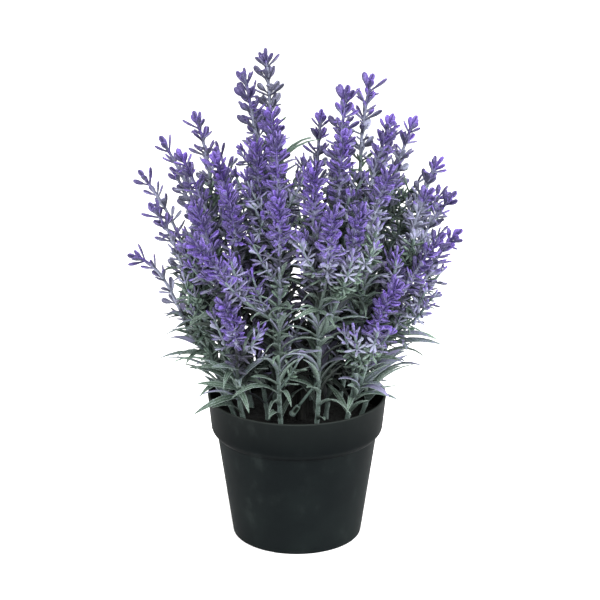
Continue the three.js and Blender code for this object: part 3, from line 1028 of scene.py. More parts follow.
@dataclass(frozen=True)
class CoreStem:
    """Dark bark-like plastic with long ridges."""

    dark: Colour = colour(15, 16, 15)
    pale: Colour = colour(44, 44, 40)

    def material(self) -> bpy.types.Material:
        """Builds the material."""
        shader = Shader("core_stem")
        ridges, patches = shader.noise(1.2, 4, (1, 1, 0.12)), shader.noise(7, 3)
        base = shader.mix(ridges.above(0.45, 0.8) * (0.4 + 0.8 * patches), self.dark, self.pale)
        normal = shader.bump(ridges, 0.5, 0.8)
        rough = 0.5 + 0.35 * patches
        return shader.dress(base_color=base, roughness=rough, normal=normal, specular_ior_level=0.25)


@dataclass(frozen=True)
class Foliage:
    """Sage green moulded leaves and stems, dusted with lilac from above, with painted light and shade."""

    shade: Colour = colour(9, 13, 12)
    # deep is dark green, and also the colour that faces turned from the light get as painted shade
    deep: Colour = colour(30, 50, 34)
    sage: Colour = colour(82, 106, 88)
    stalk: Colour = colour(76, 93, 88)
    # ridge is the pale raised lines, partly painted highlight
    ridge: Colour = colour(152, 164, 163)
    lilac: Colour = colour(126, 118, 156)

    def material(self) -> bpy.types.Material:
        """Builds the material."""
        shader = Shader("foliage")
        grain, patches = shader.noise(0.55, 3), shader.noise(5, 3)
        specks = grain.above(0.4, 0.62)
        along, rib, tone, violet, facing, reached = shader.limb_paint()
        # Partly the leaves' own tone and mottling, partly painted light: faces towards the light come out
        # paler.
        lit = tone * 0.8 + patches * 0.5 + specks * 0.3 + facing * 0.4 + rib * 0.2
        base = shader.mix((lit - 0.72).above(0.0, 0.95), self.deep, self.sage)
        base = shader.mix((1 - along.above(0.0, 0.14)) * 0.7, base, self.stalk)
        # Pale raised lines of the moulding, made paler where they face the light: partly painted highlight.
        base = shader.mix(rib * (0.15 + 0.65 * specks) * (0.5 + 0.5 * facing), base, self.ridge)
        dust = violet * (0.2 + 1.1 * facing) + (patches - 0.5) * 1.1 + (specks - 0.5) * 0.4
        base = shader.mix(dust.above(0.15, 1.05) * 0.85, base, self.lilac)
        # Painted shade: darker deep in the bush, where other limbs lie towards the light.
        base = shader.mix(0.05 + 1.1 * reached, self.shade, base)
        rough = 0.5 + 0.3 * patches
        normal = shader.bump(grain, 0.06, 0.6)
        return shader.dress(base_color=base, roughness=rough, normal=normal, specular_ior_level=0.35)


@dataclass(frozen=True)
class Flower:
    """Violet paint sprayed on slate and sage clubs, thinner below and underneath, with painted light,
    highlights and shade.
    """

    shade: Colour = colour(15, 13, 25)
    slate: Colour = colour(50, 53, 64)
    sage: Colour = colour(130, 136, 150)
    # deep is the violet in painted shade
    deep: Colour = colour(22, 12, 62)
    violet: Colour = colour(84, 54, 153)
    # pale is the lilac of the rims, partly painted highlight
    pale: Colour = colour(148, 137, 186)

    def material(self) -> bpy.types.Material:
        """Builds the material."""
        shader = Shader("flower")
        grain, patches = shader.noise(0.55, 3), shader.noise(4.5, 3)
        specks = grain.above(0.4, 0.62)
        along, rib, tone, violet, facing, reached = shader.limb_paint()
        # Partly the clubs' own tone, partly painted light: faces towards the light and raised lines come
        # out paler.
        greyness = tone * 0.8 + patches - 0.65 + facing * 0.4 + (specks - 0.5) * 0.3 + rib * 0.3
        plain = shader.mix(greyness.above(0.1, 0.9), self.slate, self.sage)
        # Partly the clubs' own tone, partly painted light and shade: faces turned from the light and limbs
        # deep in the bush take the deep violet.
        brightness = tone * 0.7 + facing * 0.7 + specks * 0.3 + rib * 0.4 + reached * 0.6 - 1.43
        bloom = shader.mix(brightness.above(0.0, 0.9), self.deep, self.violet)
        share = violet * (0.56 + 0.8 * facing) + (patches - 0.5) * 1.1 + (along - 0.5) * 0.4
        base = shader.mix(share.above(0.25, 0.8), plain, bloom)
        # Painted highlight on the raised rims, strongest where they face the light.
        base = shader.mix(rib * (0.12 + 0.5 * specks) * (0.4 + 0.6 * facing), base, self.pale)
        # Painted shade: darker deep in the bush, where other limbs lie towards the light.
        base = shader.mix(0.12 + 1.05 * reached, self.shade, base)
        rough = 0.45 + 0.3 * patches
        normal = shader.bump(grain, 0.05, 0.6)
        return shader.dress(base_color=base, roughness=rough, normal=normal, specular_ior_level=0.35)


class Finishes:
    """The materials of the object."""

    def __init__(self) -> None:
        """Builds each of them once."""
        self.pot = PotPlastic().material()
        self.fill = DarkFill().material()
        self.core = CoreStem().material()
        self.foliage = Foliage().material()
        self.flower = Flower().material()


def rounded(corners: Sequence[Triple], steps: int = 6, leg: float = 0.3) -> Vec:
    """A profile with an arc at each corner, and a short straight leg at both ends of each arc.

    Args:
        corners: The radius and height of each corner, and how far from it its arc starts.
        steps: How many legs an arc has.
        leg: The length of the straight legs, as a share of how far from the corner the arc starts.

    Returns:
        The profile's points, two numbers to a row.
    """
    places = np.array([corner[:2] for corner in corners])
    profile = [places[0]]
    for before, here, after, corner in zip(places, places[1:], places[2:], corners[1:]):
        back, on, cut = unit(before - here), unit(after - here), corner[2]
        start, end = here + cut * back, here + cut * on
        t = np.linspace(0, 1, steps + 1)[:, None]
        arc = (1 - t) ** 2 * start + 2 * (1 - t) * t * here + t**2 * end
        profile += [start + leg * cut * back, *arc, end + leg * cut * on]
    return np.array([*profile, places[-1]])


def turned(skin: Skin, profile: Vec, sides: int, paint: Paint = Paint()) -> None:
    """Adds a solid turned about the Z axis.

    Args:
        skin: The mesh.
        profile: The outline from the underside's centre, out and round to the inside's centre.
        sides: How many sides it has.
        paint: The paint on its rings.
    """
    inner = profile[1:-1]
    rings = np.empty((len(inner), sides, 3))
    rings[..., :2] = inner[:, :1, None] * circle(sides)
    rings[..., 2] = inner[:, 1:]
    skin.loft(rings, paint, vec(0, 0, profile[-1, 1]), vec(0, 0, profile[0, 1]))


@dataclass
class Pot:
    """The tapered pot with its wider collar."""

    rim_radius: float = 52.5
    collar_radius: float = 50.3
    shoulder_z: float = 69.0
    body_top_radius: float = 47.1
    body_top_z: float = 62.7
    base_radius: float = 38
    wall: float = 1.5
    floor: float = 2.4
    collar_slope: float = 3.4
    lip_highlight: float = 0.9
    crease_shade_rise: float = 0.9
    crease_shade: float = 2.4
    collar_fade: float = 4
    sides: int = 160

    @property
    def height(self) -> float:
        """The height of the rim, from the frame."""
        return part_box("pot")[1].z / MM

    def build(self, finishes: Finishes) -> None:
        """Builds the pot in place of its solid."""
        top, wall = self.height, self.wall
        profile = rounded([
            (0, 0, 0),
            (self.base_radius, 0, 1.6),
            (self.body_top_radius, self.body_top_z, 0.7),
            (self.collar_radius, self.shoulder_z - self.collar_slope, 2.0),
            (self.rim_radius, top, 0.55),
            (self.rim_radius - wall, top, 0.45),
            (self.collar_radius - wall, self.shoulder_z, 3),
            (self.body_top_radius - wall, self.body_top_z + 1, 1),
            (self.base_radius - wall, self.floor, 2),
            (0, self.floor, 0),
        ])
        skin = Skin()
        heights = profile[1:-1, 1:]
        # The band at the top of the rim that gets the painted highlight
        lip_highlight = ((heights - top + self.lip_highlight) / self.lip_highlight).clip(0, 1)
        # The band in the crease under the collar that gets the painted shade
        crease_shade = 1 - (abs(heights - self.body_top_z - self.crease_shade_rise) / self.crease_shade).clip(0, 1)
        collar = ((heights - self.body_top_z) / self.collar_fade).clip(0, 1)
        turned(skin, profile, self.sides, Paint(along=crease_shade, rib=lip_highlight, tone=collar))
        skin.piece("moulded_pot", finishes.pot, Slot.POT, "pot")


@dataclass
class Fill:
    """The dark plug that holds the stalks."""

    top: float = FILL_TOP
    edge_radius: float = 49.2
    middle_radius: float = 1.2
    shoulder_radius: float = 47.5
    base_radius: float = 35.8
    shoulder_z: float = 65.6
    skirt_inset: float = 2.6
    skirt_drop: float = 1
    base_z: float = 2.75
    lumpiness: float = 0.9
    ring_count: int = 26
    sides: int = 120

    def build(self, finishes: Finishes) -> None:
        """Builds the plug with its uneven top in place of its solid."""
        profile = np.array([
            (0, self.base_z),
            (self.base_radius, self.base_z),
            (self.shoulder_radius - self.skirt_inset, self.shoulder_z - self.skirt_drop),
            (self.shoulder_radius, self.shoulder_z),
            *((r, self.top) for r in np.linspace(self.edge_radius, self.middle_radius, self.ring_count)),
            (0, self.top),
        ])
        skin = Skin()
        turned(skin, profile, self.sides)
        points = np.concatenate(skin.points)
        on_top = points[:, 2] > self.top - 0.1
        x, y = points[on_top, 0], points[on_top, 1]
        waves = np.sin(0.9 * x + 1.7 * np.sin(0.31 * y)) * np.cos(1.1 * y + 1.3 * np.sin(0.43 * x))
        ripples = np.sin(2.3 * x + 0.7 * y) * np.sin(1.9 * y - 0.8 * x)
        points[on_top, 2] += self.lumpiness * (0.6 * waves + 0.4 * ripples - 1)
        skin.points = [points]
        skin.piece("dark_plug", finishes.fill, Slot.FILL, "fill")


@dataclass
class CoreStems:
    """The bundle of dark straight stems in the middle."""

    foot_z: float = 51.35
    top: float = 134
    top_spread: float = 14
    outer_stems: int = 5
    ring_radius: float = 4.4
    flare: float = 1.35
    first_turn: float = 0.3
    radius: float = 2.7
    taper: float = 0.7
    tip_height: float = 1.5
    fineness: float = 0.93
    knots: float = 0.07
    route_points: int = 30
    ring_count: int = 34
    sides: int = 16
    limb: int = 900

    def ways(self) -> list[tuple[Vec, Vec]]:
        """The foot and the top of each stem."""
        ways = [(vec(0, 0, self.foot_z), vec(0, 0, self.top))]
        for i in range(self.outer_stems):
            turn = TURN * i / self.outer_stems + self.first_turn
            outward = self.ring_radius * vec(math.cos(turn), math.sin(turn), 0)
            lower = self.top_spread * draw(self.limb + i, 0, Purpose.CORE_TOP)
            foot, top = outward.copy(), outward * self.flare
            foot[2], top[2] = self.foot_z, self.top - lower
            ways.append((foot, top))
        return ways

    def build(self, finishes: Finishes) -> None:
        """Builds the bundle in place of its solid."""
        skin = Skin()
        for number, (foot, top) in enumerate(self.ways()):
            self._add_stem(skin, number, foot, top)
        skin.piece("core_bundle", finishes.core, Slot.CORE, "core_stems")

    def _add_stem(self, skin: Skin, number: int, foot: Vec, top: Vec) -> None:
        """Adds one stem, with knots and long ridges."""
        route = Route(np.linspace(foot, top, self.route_points))
        marks = np.linspace(0, route.length - self.tip_height, self.ring_count)
        places = range(self.ring_count)
        knots = np.array([sway(self.limb + number, k, Purpose.CORE_RIDGE, self.knots) for k in places])
        radii = self.radius * (1 - (1 - self.taper) * marks / route.length) * (0.97 + knots)
        angles = even_angles(self.sides)
        ridges = 1 + 0.09 * np.sin(5 * angles + number) + 0.05 * np.sin(8 * angles)
        rings = route.rings(marks, radii, outline_of(ridges) * self.fineness)
        skin.loft(rings, Paint(), top)


# Where heads have the fewest clubs, at the back and at both sides, how far from there they have
# their full number, and the least share at each side
BACK_Y, BACK_FADE = 24, 80
LEFT_X, LEFT_FADE, LEAST_LEFT = -100, 50, 0.25
RIGHT_X, RIGHT_FADE, LEAST_RIGHT = 115, 40, 0.4

# From which heights heads have more clubs and larger ones, how much more at the most, and the
# rise that would double them
MORE_Z, MOST_MORE = 240, 0.12
LARGER_Z, MOST_LARGER = 252, 0.26
RISE = 100


class Tip(NamedTuple):
    """Where a head's tip stands, how far down the head is violet, and its extra lean.

    bloom is the share of the head's length over which the violet fades by three fifths, lean is
    in degrees, and pale is how pale its clubs are.
    """

    x: float
    y: float
    z: float
    bloom: float
    lean: float = 0
    pale: float = 1

    @property
    def point(self) -> Vec:
        """The tip as a point."""
        return vec(self.x, self.y, self.z)

    @property
    def fullness(self) -> float:
        """How many clubs the head has: more in front, fewer at both sides."""
        share = clamp((BACK_Y - self.y) / BACK_FADE + clamp((self.z - MORE_Z) / RISE, 0, MOST_MORE))
        left = clamp((self.x - LEFT_X) / LEFT_FADE, LEAST_LEFT)
        return share * left * clamp((RIGHT_X - self.x) / RIGHT_FADE, LEAST_RIGHT)

    @property
    def club_size(self) -> float:
        """How large the clubs among the main ones are: larger on the highest heads."""
        return 1 + clamp((self.z - LARGER_Z) / RISE, 0, MOST_LARGER)

    def direction(self, centre_z: float) -> Vec:
        """The direction at the tip, away from a centre low in the bush."""
        outward = unit(vec(self.x, self.y, self.z - centre_z))
        axis = unit(vec(-self.y, self.x, 0))
        angle = math.radians(self.lean)
        return math.cos(angle) * outward + math.sin(angle) * np.cross(axis, outward)


@dataclass(frozen=True)
class Whorl:
    """How the clubs of a whorl stand. Angles are in degrees."""

    count: int
    lean: float
    length: float
    width: float
    form: Form = SMALL_CLUB
    spread: float = 0.4
    azimuth_sway: float = 1.6
    length_sway: float = 0.16
    width_sway: float = 0.15

    def grow(
        self, growth: Growth, limb: int, place: Place, mark: int, heading: float, violet: float,
        pale: float = 1.0,
    ) -> None:
        """Grows the whorl's clubs round a stem.

        Args:
            growth: The clubs and leaves of the piece.
            limb: The number of the stem.
            place: Where on the stem the whorl stands.
            mark: The whorl's own number on that stem.
            heading: The direction of its first club round the stem.
            violet: How much of the flower's colour it has.
            pale: How pale it is.
        """
        for i in range(self.count):
            own = mark * WHORL_NUMBERS + i
            stray = sway(limb, own, Purpose.CLUB_AZIMUTH, self.azimuth_sway * self.spread)
            azimuth = heading + TURN * i / self.count + stray
            lean = math.radians(self.lean) * (1 + sway(limb, own, Purpose.BEND, self.spread))
            length = self.length * (1 + sway(limb, own, Purpose.CLUB_LENGTH, self.length_sway))
            roll = draw(limb, own, Purpose.CLUB_ROLL) * math.pi
            width = self.width * (1 + sway(limb, own, Purpose.WIDTH, self.width_sway))

            def shape(turn: float, lift: float, size: float) -> Club:
                """The club in a tried shape."""
                return Club(place, azimuth + turn, lean * lift, length * size, roll, width, self.form)

            dusting = DUSTING_LOSS * draw(limb, own, Purpose.DUSTING)
            coat = Coat(pale * draw(limb, own, Purpose.TONE), violet - dusting)
            growth.add(shape, coat, Fit.LOOSE)


TOP_CLUBS = Whorl(2, 40, 7.6, 2.4)
TWIG_TOP = Whorl(4, 24, 7.6, 1.8)
TWIG_CLUBS = Whorl(4, 60, 8, 2.2)
TWIG_PETALS = Whorl(6, 66, 7.2, 1.7, PETAL, 0.5)
UNDER_CLUBS = Whorl(4, 56, 9.4, 2.3)
UNDER_PETALS = Whorl(5, 66, 7.6, 1.8, PETAL, 0.5)


@dataclass
class Head:
    """One violet flower spike: whorls of clubs on a thin axis."""

    name: str
    limb: int
    route: Route
    length: float
    tip: Tip
    growth: Growth
    radius: float = 0.95
    tip_radius: float = 0.8
    first_whorl: float = 10
    whorl_pitch: float = 8.2
    whorl_turn: float = 1.95
    lowest_whorl: float = 1.4
    club_length: float = 9.4
    club_lean: float = 48
    petal_shares: Sequence[float] = (0.3, 0.55, 0.85)
    top_mark: int = 20
    large_mark: int = 30
    small_mark: int = 40
    petal_mark: int = 50

    @property
    def foot(self) -> float:
        """Where the head starts on its route."""
        return self.route.length - self.length

    @property
    def whorls(self) -> int:
        """How many main whorls it has."""
        return int((self.length - self.first_whorl - self.lowest_whorl) // self.whorl_pitch) + 1

    def violet_at(self, below: float) -> float:
        """How violet the stem is at a distance below its tip."""
        return clamp(1.15 - 0.6 * below / self.length / self.tip.bloom)

    def lean_at(self, whorl: float) -> float:
        """How far the clubs of a whorl lean out, in degrees."""
        return self.club_lean * min(0.75 + 0.1 * whorl, 1.2)

    def below(self, distance: float) -> Place:
        """The place at a distance below the tip."""
        return self.route.at(self.route.length - distance)

    def keep(self, room: Room) -> None:
        """Places the head's axis."""
        top = self.route.length - self.club_length
        room.keep_way(self.name, self.route.between(self.foot, top), self.radius)

    def grow_main(self) -> None:
        """Grows the top club and the opposite pairs that the frame's solid has."""
        top = self.below(self.club_length * 0.9)
        top_roll = draw(self.limb, 0, Purpose.TOP_ROLL) * math.pi

        def top_shape(turn: float, lift: float, size: float) -> Club:
            """The top club in a tried shape."""
            return Club(top, turn, 0.05 * lift, self.club_length * 0.95 * size, top_roll)

        tone = self.tip.pale * draw(self.limb, 0, Purpose.TONE)
        self.growth.add(top_shape, Coat(tone, 1.0), Fit.MAIN)
        for mark in range(1, self.whorls * 2 + 1):
            self._grow_pair_member(mark)

    def _grow_pair_member(self, mark: int) -> None:
        """Grows one club of a main pair."""
        whorl = (mark - 1) // 2
        below = self.first_whorl + whorl * self.whorl_pitch
        place = self.below(below)
        heading = whorl * self.whorl_turn + draw(self.limb, 0, Purpose.WHORL_HEADING) * math.pi
        stray = sway(self.limb, mark, Purpose.CLUB_AZIMUTH, 0.3)
        azimuth = heading + (0 if mark % 2 else math.pi) + stray
        lean = math.radians(self.lean_at(whorl))
        face = 0 if draw(self.limb, mark, Purpose.CLUB_FACE) < 0.5 else math.pi / 2
        roll = face + sway(self.limb, mark, Purpose.CLUB_ROLL, 0.45)
        length = self.club_length * (1 + sway(self.limb, mark, Purpose.CLUB_LENGTH, 0.1))

        def shape(turn: float, lift: float, size: float) -> Club:
            """The club in a tried shape."""
            return Club(place, azimuth + turn, lean * lift, length * size, roll)

        violet = self.violet_at(below) - DUSTING_LOSS * draw(self.limb, mark, Purpose.DUSTING)
        tone = self.tip.pale * draw(self.limb, mark, Purpose.TONE)
        self.growth.add(shape, Coat(tone, violet), Fit.MAIN)

    def grow_rest(self) -> None:
        """Grows the clubs among the main ones, more of them on a fuller head."""
        start = draw(self.limb, 1, Purpose.WHORL_HEADING) * TURN
        top = self.below(self.club_length * 1.05)
        TOP_CLUBS.grow(self.growth, self.limb, top, self.top_mark, start, 1.0, self.tip.pale)
        for whorl in range(self.whorls):
            self._grow_among(whorl)

    def _grow_among(self, whorl: int) -> None:
        """Grows the clubs and petals from one main whorl to the next."""
        below = self.first_whorl + whorl * self.whorl_pitch
        lean, fullness, size = self.lean_at(whorl), self.tip.fullness, self.tip.club_size
        large = Whorl(2 + min(2, round(5 * fullness)), lean * 1.15, 9.8 * size, 3.2 * size, CLUB, 0.3)
        self._grow_whorl(large, below + 0.8, self.large_mark + whorl)
        small = Whorl(round(3.4 * fullness), lean * 1.3, 7.6, 2.4, spread=0.5)
        self._grow_whorl(small, below + self.whorl_pitch * 0.5, self.small_mark + whorl)
        petals = Whorl(round(4 * fullness), lean * 1.6, 6.8, 1.9, PETAL, 0.6)
        for step, share in enumerate(self.petal_shares):
            mark = self.petal_mark + whorl * len(self.petal_shares) + step
            self._grow_whorl(petals, below + self.whorl_pitch * share, mark)

    def _grow_whorl(self, style: Whorl, below: float, mark: int) -> None:
        """Grows a whorl at a distance below the tip."""
        heading = mark * self.whorl_turn + draw(self.limb, 0, Purpose.WHORL_HEADING) * math.pi
        place, violet = self.below(below), self.violet_at(below)
        style.grow(self.growth, self.limb, place, mark, heading, violet, self.tip.pale)

    def build(self, finishes: Finishes) -> None:
        """Builds the spike in place of its solid."""
        skin = Skin()
        top = self.route.length - self.club_length * 0.7
        marks = np.arange(self.foot, top, 1.3)
        below = self.route.length - marks
        swell = 0.3 * np.exp(-(((below - self.first_whorl + 0.8) % self.whorl_pitch) / 1.3) ** 2)
        taper = (marks - self.foot) / (top - self.foot)
        radii = lerp(self.radius, self.tip_radius, taper) * (1.08 + swell)
        rings = self.route.rings(marks, radii, circle(8))
        violet = np.array([self.violet_at(b) for b in below])[:, None] - 0.2
        # Painted shade along the axis, from the other pieces that lie towards the light.
        reached = self.growth.room.reached(self.name, rings.mean(1))[:, None]
        paint = Paint(0.4, 0.7 * (np.arange(8) % 2), 0.6, violet, reached)
        skin.loft(rings, paint, self.route.at(top).point)
        self.growth.cover(skin)
        skin.piece(self.name.replace("head_", "flower_"), finishes.flower, Slot.FLOWER, self.name)


@dataclass
class Twig:
    """A short side shoot that ends in a few whorls of clubs."""

    limb: int
    route: Route
    violet: float
    radius: float = 0.8
    tip_radius: float = 0.6
    pitch: float = 5.6
    bare: float = 0.26
    top_whorl: float = 6.5
    top_heading: float = 0.5
    whorl_turn: float = 0.8
    fading: float = 0.02

    @classmethod
    def sprout(cls, limb: int, place: Place, azimuth: float, length: float, violet: float) -> "Twig":
        """A twig that leaves a stem at an angle and turns upwards.

        Args:
            limb: Its number.
            place: Where it grows.
            azimuth: Its direction round the stem.
            length: The straight distance that it reaches.
            violet: How violet its tip is.

        Returns:
            The twig.
        """
        out = place.outward(azimuth)
        leaving = unit(0.8 * place.tangent + 0.62 * out)
        arriving = unit(0.75 * place.tangent + 0.4 * out + vec(0, 0, 0.35))
        end = place.point + length * unit(leaving + arriving)
        return cls(limb, way_between(place.point, leaving, arriving, end, 0.34, 8), violet)

    def is_clear(self, room: Room, owner: str) -> bool:
        """Whether the twig's stem crosses nothing."""
        points = self.route.between(4, self.route.length)
        rods = [Rod(a, b, self.radius) for a, b in zip(points[:-1], points[1:])]
        free = all(in_free_space(point) and in_bush(point) for point in points)
        return free and room.is_clear(owner, rods, Fit.TWIG)

    def grow(self, green: Growth, flowers: Growth) -> None:
        """Grows its clubs, the lower ones green.

        Args:
            green: What grows on the leafy piece.
            flowers: What grows on the violet piece.
        """
        below, mark = self.top_whorl, 1
        top = self.route.at(self.route.length - below)
        growth = flowers if self.violet > LEAST_VIOLET else green
        TWIG_TOP.grow(growth, self.limb, top, 0, self.top_heading, self.violet)
        while below < self.route.length * (1 - self.bare):
            below += self.pitch
            violet = self.violet - self.fading * below
            place = self.route.at(self.route.length - below)
            growth = flowers if violet > LEAST_VIOLET else green
            style = TWIG_CLUBS if mark % 2 else TWIG_PETALS
            style.grow(growth, self.limb, place, mark, mark * self.whorl_turn, violet)
            mark += 1

    def add_stem(self, room: Room, owner: str, skin: Skin) -> None:
        """Adds its stem to a mesh."""
        marks = np.linspace(0.4, self.route.length - 5.5, 12)
        radii = np.linspace(self.radius, self.tip_radius, 12)
        rings = self.route.rings(marks, radii, circle(8))
        tip = self.route.at(self.route.length - 5).point
        # Painted shade along the stem, from the other pieces that lie towards the light.
        paint = Paint(0, 0.15, 0.6, self.violet * 0.5, room.reached(owner, rings.mean(1))[:, None])
        skin.loft(rings, paint, tip)


class LeafStyle(NamedTuple):
    """The least curl of a stem's leaves, and their lengths high up and low down."""

    least_curl: float
    shortest: float
    longest: float


MAIN_LEAF = LeafStyle(0.5, 15, 27)
LOOSE_LEAF = LeafStyle(0.45, 20, 32)

# How far down its length each ring of the loose twig's socket lies, and the ring's radius
SOCKET_PROFILE = (
    (0, 1.0), (0.06, 1.35), (0.16, 1.6), (0.3, 1.7), (0.42, 1.75), (0.54, 1.8), (0.64, 1.82),
    (0.72, 1.85), (0.8, 1.95), (0.92, 2.05), (0.985, 2.0), (1.0, 1.7),
)


@dataclass
class Spray:
    """One moulded stalk with its side branches, leaves and heads."""

    name: str
    foot_at: tuple[float, float]
    tips: Sequence[Tip]
    tuft: float | None = None
    socket: Triple | None = None
    stalk_radius: float = 1.45
    branch_radius: float = 0.95
    tip_radius: float = 0.95
    splay: float = 0.34
    splay_reach: float = 38
    lean_centre_z: float = 112
    bend: float = 0.34
    branch_reach: float = 26
    reach_step: float = 9
    lowest_fork: float = 14
    branch_flare: float = 0.9
    head_length: float = 45
    head_length_spread: float = 4
    leaf_pitch: float = 20.6
    pitch_spread: float = 0.12
    pair_turn: float = 1.75
    club_zone: float = 46
    twig_shares: Sequence[float] = (0.24, 0.4, 0.54, 0.68, 0.82)
    lowest_twig: float = 98
    pairs_below: float = 94
    collar_rise: float = 1
    stalk_legs: int = 24
    branch_legs: int = 18
    stalk_pairs_from: float = 7
    branch_pairs_from: float = 12
    bare_under_head: float = 4
    leaf_rise: float = 34
    leaf_curl: float = 52
    leaf_width: float = 2.7
    low_leaf_width: float = 1.3
    long_leaves_z: float = 190
    leaf_fade: float = 100
    loose_pitch: float = 7
    loose_turn: float = 0.62
    stalk_loose_from: float = 16
    branch_loose_from: float = 4
    loose_mark: int = 400
    under_gap: float = 4.5
    under_bare_foot: float = 30
    under_mark: int = 60
    tuft_rise: float = 18
    tuft_curl: float = 57
    tuft_length: float = 38
    tuft_turn: float = 0.35
    twig_length: float = 36
    twig_length_spread: float = 9
    twig_tries: int = 7
    twig_turn: float = 0.9
    twig_green_z: float = 74
    twig_violet_rise: float = 54
    socket_stem_at: float = 33
    socket_length: float = 8
    socket_radius: float = 2.1
    socket_gap: Triple = (0, -2, 1)
    socket_window: Triple = (0, -16, 6)
    tuft_gap: Triple = (0, -4, 1.3)
    tuft_window: Triple = (0, -60, 20)
    window_radius: float = 2.0
    heads: list[Head] = field(default_factory=list)
    twigs: list[Twig] = field(default_factory=list)
    room: Room = field(init=False)
    green: Growth = field(init=False)
    flowers: Growth = field(init=False)
    foot: Vec = field(init=False)

    @property
    def node(self) -> str:
        """The name of the frame's node."""
        return f"spray_{self.name}"

    def plan(self, number: int, fill_top: float, room: Room) -> None:
        """Works out the ways of the stalk and the side branches, and places them.

        Args:
            number: The spray's number.
            fill_top: The height of the fill.
            room: What is placed so far.
        """
        self.room = room
        self.green, self.flowers = Growth(room, self.node), Growth(room, self.node)
        x, y = self.foot_at
        self.foot = vec(x, y, fill_top - HOLE_DEPTH + SEAT_GAP)
        collar = vec(x, y, fill_top + self.collar_rise)
        leaving = unit(vec(x, y, self.splay_reach / self.splay))
        stalk = self._way(collar, leaving, self.tips[0], self.stalk_legs)
        for i, tip in enumerate(self.tips):
            limb = number * 10 + i
            length = self.head_length + sway(limb, 0, Purpose.HEAD_LENGTH, self.head_length_spread)
            reach = length + self.branch_reach + self.reach_step * i
            route = self._branch(stalk, tip, reach) if i else stalk
            name = f"head_{self.name}_{i + 1}"
            self.heads.append(Head(name, limb, route, length, tip, Growth(room, name)))
        self._keep()

    def _way(self, start: Vec, leaving: Vec, tip: Tip, steps: int) -> Route:
        """The way of a stem to a head's tip."""
        return way_between(start, leaving, tip.direction(self.lean_centre_z), tip.point, self.bend, steps)

    def _branch(self, stalk: Route, tip: Tip, reach: float) -> Route:
        """The way of a side branch, from the highest fork that is a given reach from its tip."""
        distance = stalk.length - self.head_length
        while distance > self.lowest_fork and math.dist(stalk.at(distance).point, tip.point) < reach:
            distance -= 1
        fork = stalk.at(distance)
        straight = unit(tip.point - fork.point)
        leaving = unit(straight * (1 + self.branch_flare) - fork.tangent * self.branch_flare)
        return self._way(fork.point, leaving, tip, self.branch_legs)

    def _keep(self) -> None:
        """Places the spray's stems and its heads' axes."""
        room, first = self.room, self.heads[0].route
        room.keep_way(self.node, np.stack([self.foot, first.points[0]]), self.stalk_radius)
        if self.socket:
            neck, end, start = self._socket_way()
            room.keep_way(self.node, np.stack([start, neck]), self.branch_radius)
            room.keep_way(self.node, np.stack([neck, end]), self.socket_radius)
        for i, head in enumerate(self.heads):
            radius = self.branch_radius if i else self.stalk_radius
            room.keep_way(self.node, head.route.between(0, head.foot), radius)
            head.keep(room)

    def keep_window(self) -> None:
        """Keeps the space in front of the socket, and of the tuft's blades, open."""
        if self.socket:
            neck, end, _ = self._socket_way()
            for point in (neck, (neck + end) / 2, end):
                self._keep_open(point, self.socket_gap, self.socket_window)
        if self.tuft:
            for blade, _ in self.green.limbs[-3:]:
                for rod in blade.rods():
                    self._keep_open((rod.start + rod.end) / 2, self.tuft_gap, self.tuft_window)

    def _keep_open(self, point: Vec, gap: Triple, window: Triple) -> None:
        """Keeps a window open that starts at a gap from a point."""
        start = point + vec(*gap)
        self.room.keep_way("window", np.stack([start, start + vec(*window)]), self.window_radius)

    def _socket_way(self) -> tuple[Vec, Vec, Vec]:
        """The neck and the end of the loose twig's socket, and where the twig starts."""
        end, start = vec(*self.socket), self.heads[0].route.at(self.socket_stem_at).point
        neck = end + (start - end) * self.socket_length / np.linalg.norm(end - start)
        return neck, end, start

    def _leaf(
        self, head: Head, distance: float, mark: int, azimuth: float, size: float, fit: Fit
    ) -> None:
        """Grows one leaf in the first of its tried shapes that is clear.

        Args:
            head: The head that its stem ends in.
            distance: How far along the stem it grows.
            mark: Its own number on that stem.
            azimuth: Its direction round the stem.
            size: Its length as a share of the plain one.
            fit: How much room it asks for.
        """
        limb, place = head.limb, head.route.at(distance)
        style = MAIN_LEAF if fit is Fit.MAIN else LOOSE_LEAF
        rise = math.radians(self.leaf_rise) + sway(limb, mark, Purpose.LEAF_RISE, 0.2)
        curl = math.radians(self.leaf_curl) * (style.least_curl + draw(limb, mark, Purpose.LEAF_CURL))
        low = clamp((self.long_leaves_z - place.point[2]) / self.leaf_fade)
        plain = lerp(style.shortest, style.longest, low)
        length = plain * (1 + sway(limb, mark, Purpose.LEAF_LENGTH, 0.15)) * size
        twist = sway(limb, mark, Purpose.TWIST, 0.9)
        width = self.leaf_width + self.low_leaf_width * low + sway(limb, mark, Purpose.WIDTH, 0.4)

        def shape(turn: float, lift: float, share: float) -> Leaf:
            """The leaf in a tried shape."""
            return Leaf(place, azimuth + turn, rise * lift, curl * lift, length * share, twist, width)

        violet = 1.6 * draw(limb, mark, Purpose.DUSTING) - 0.75 + 0.5 * distance / head.foot
        self.green.add(shape, Coat(draw(limb, mark, Purpose.TONE), clamp(violet)), fit)

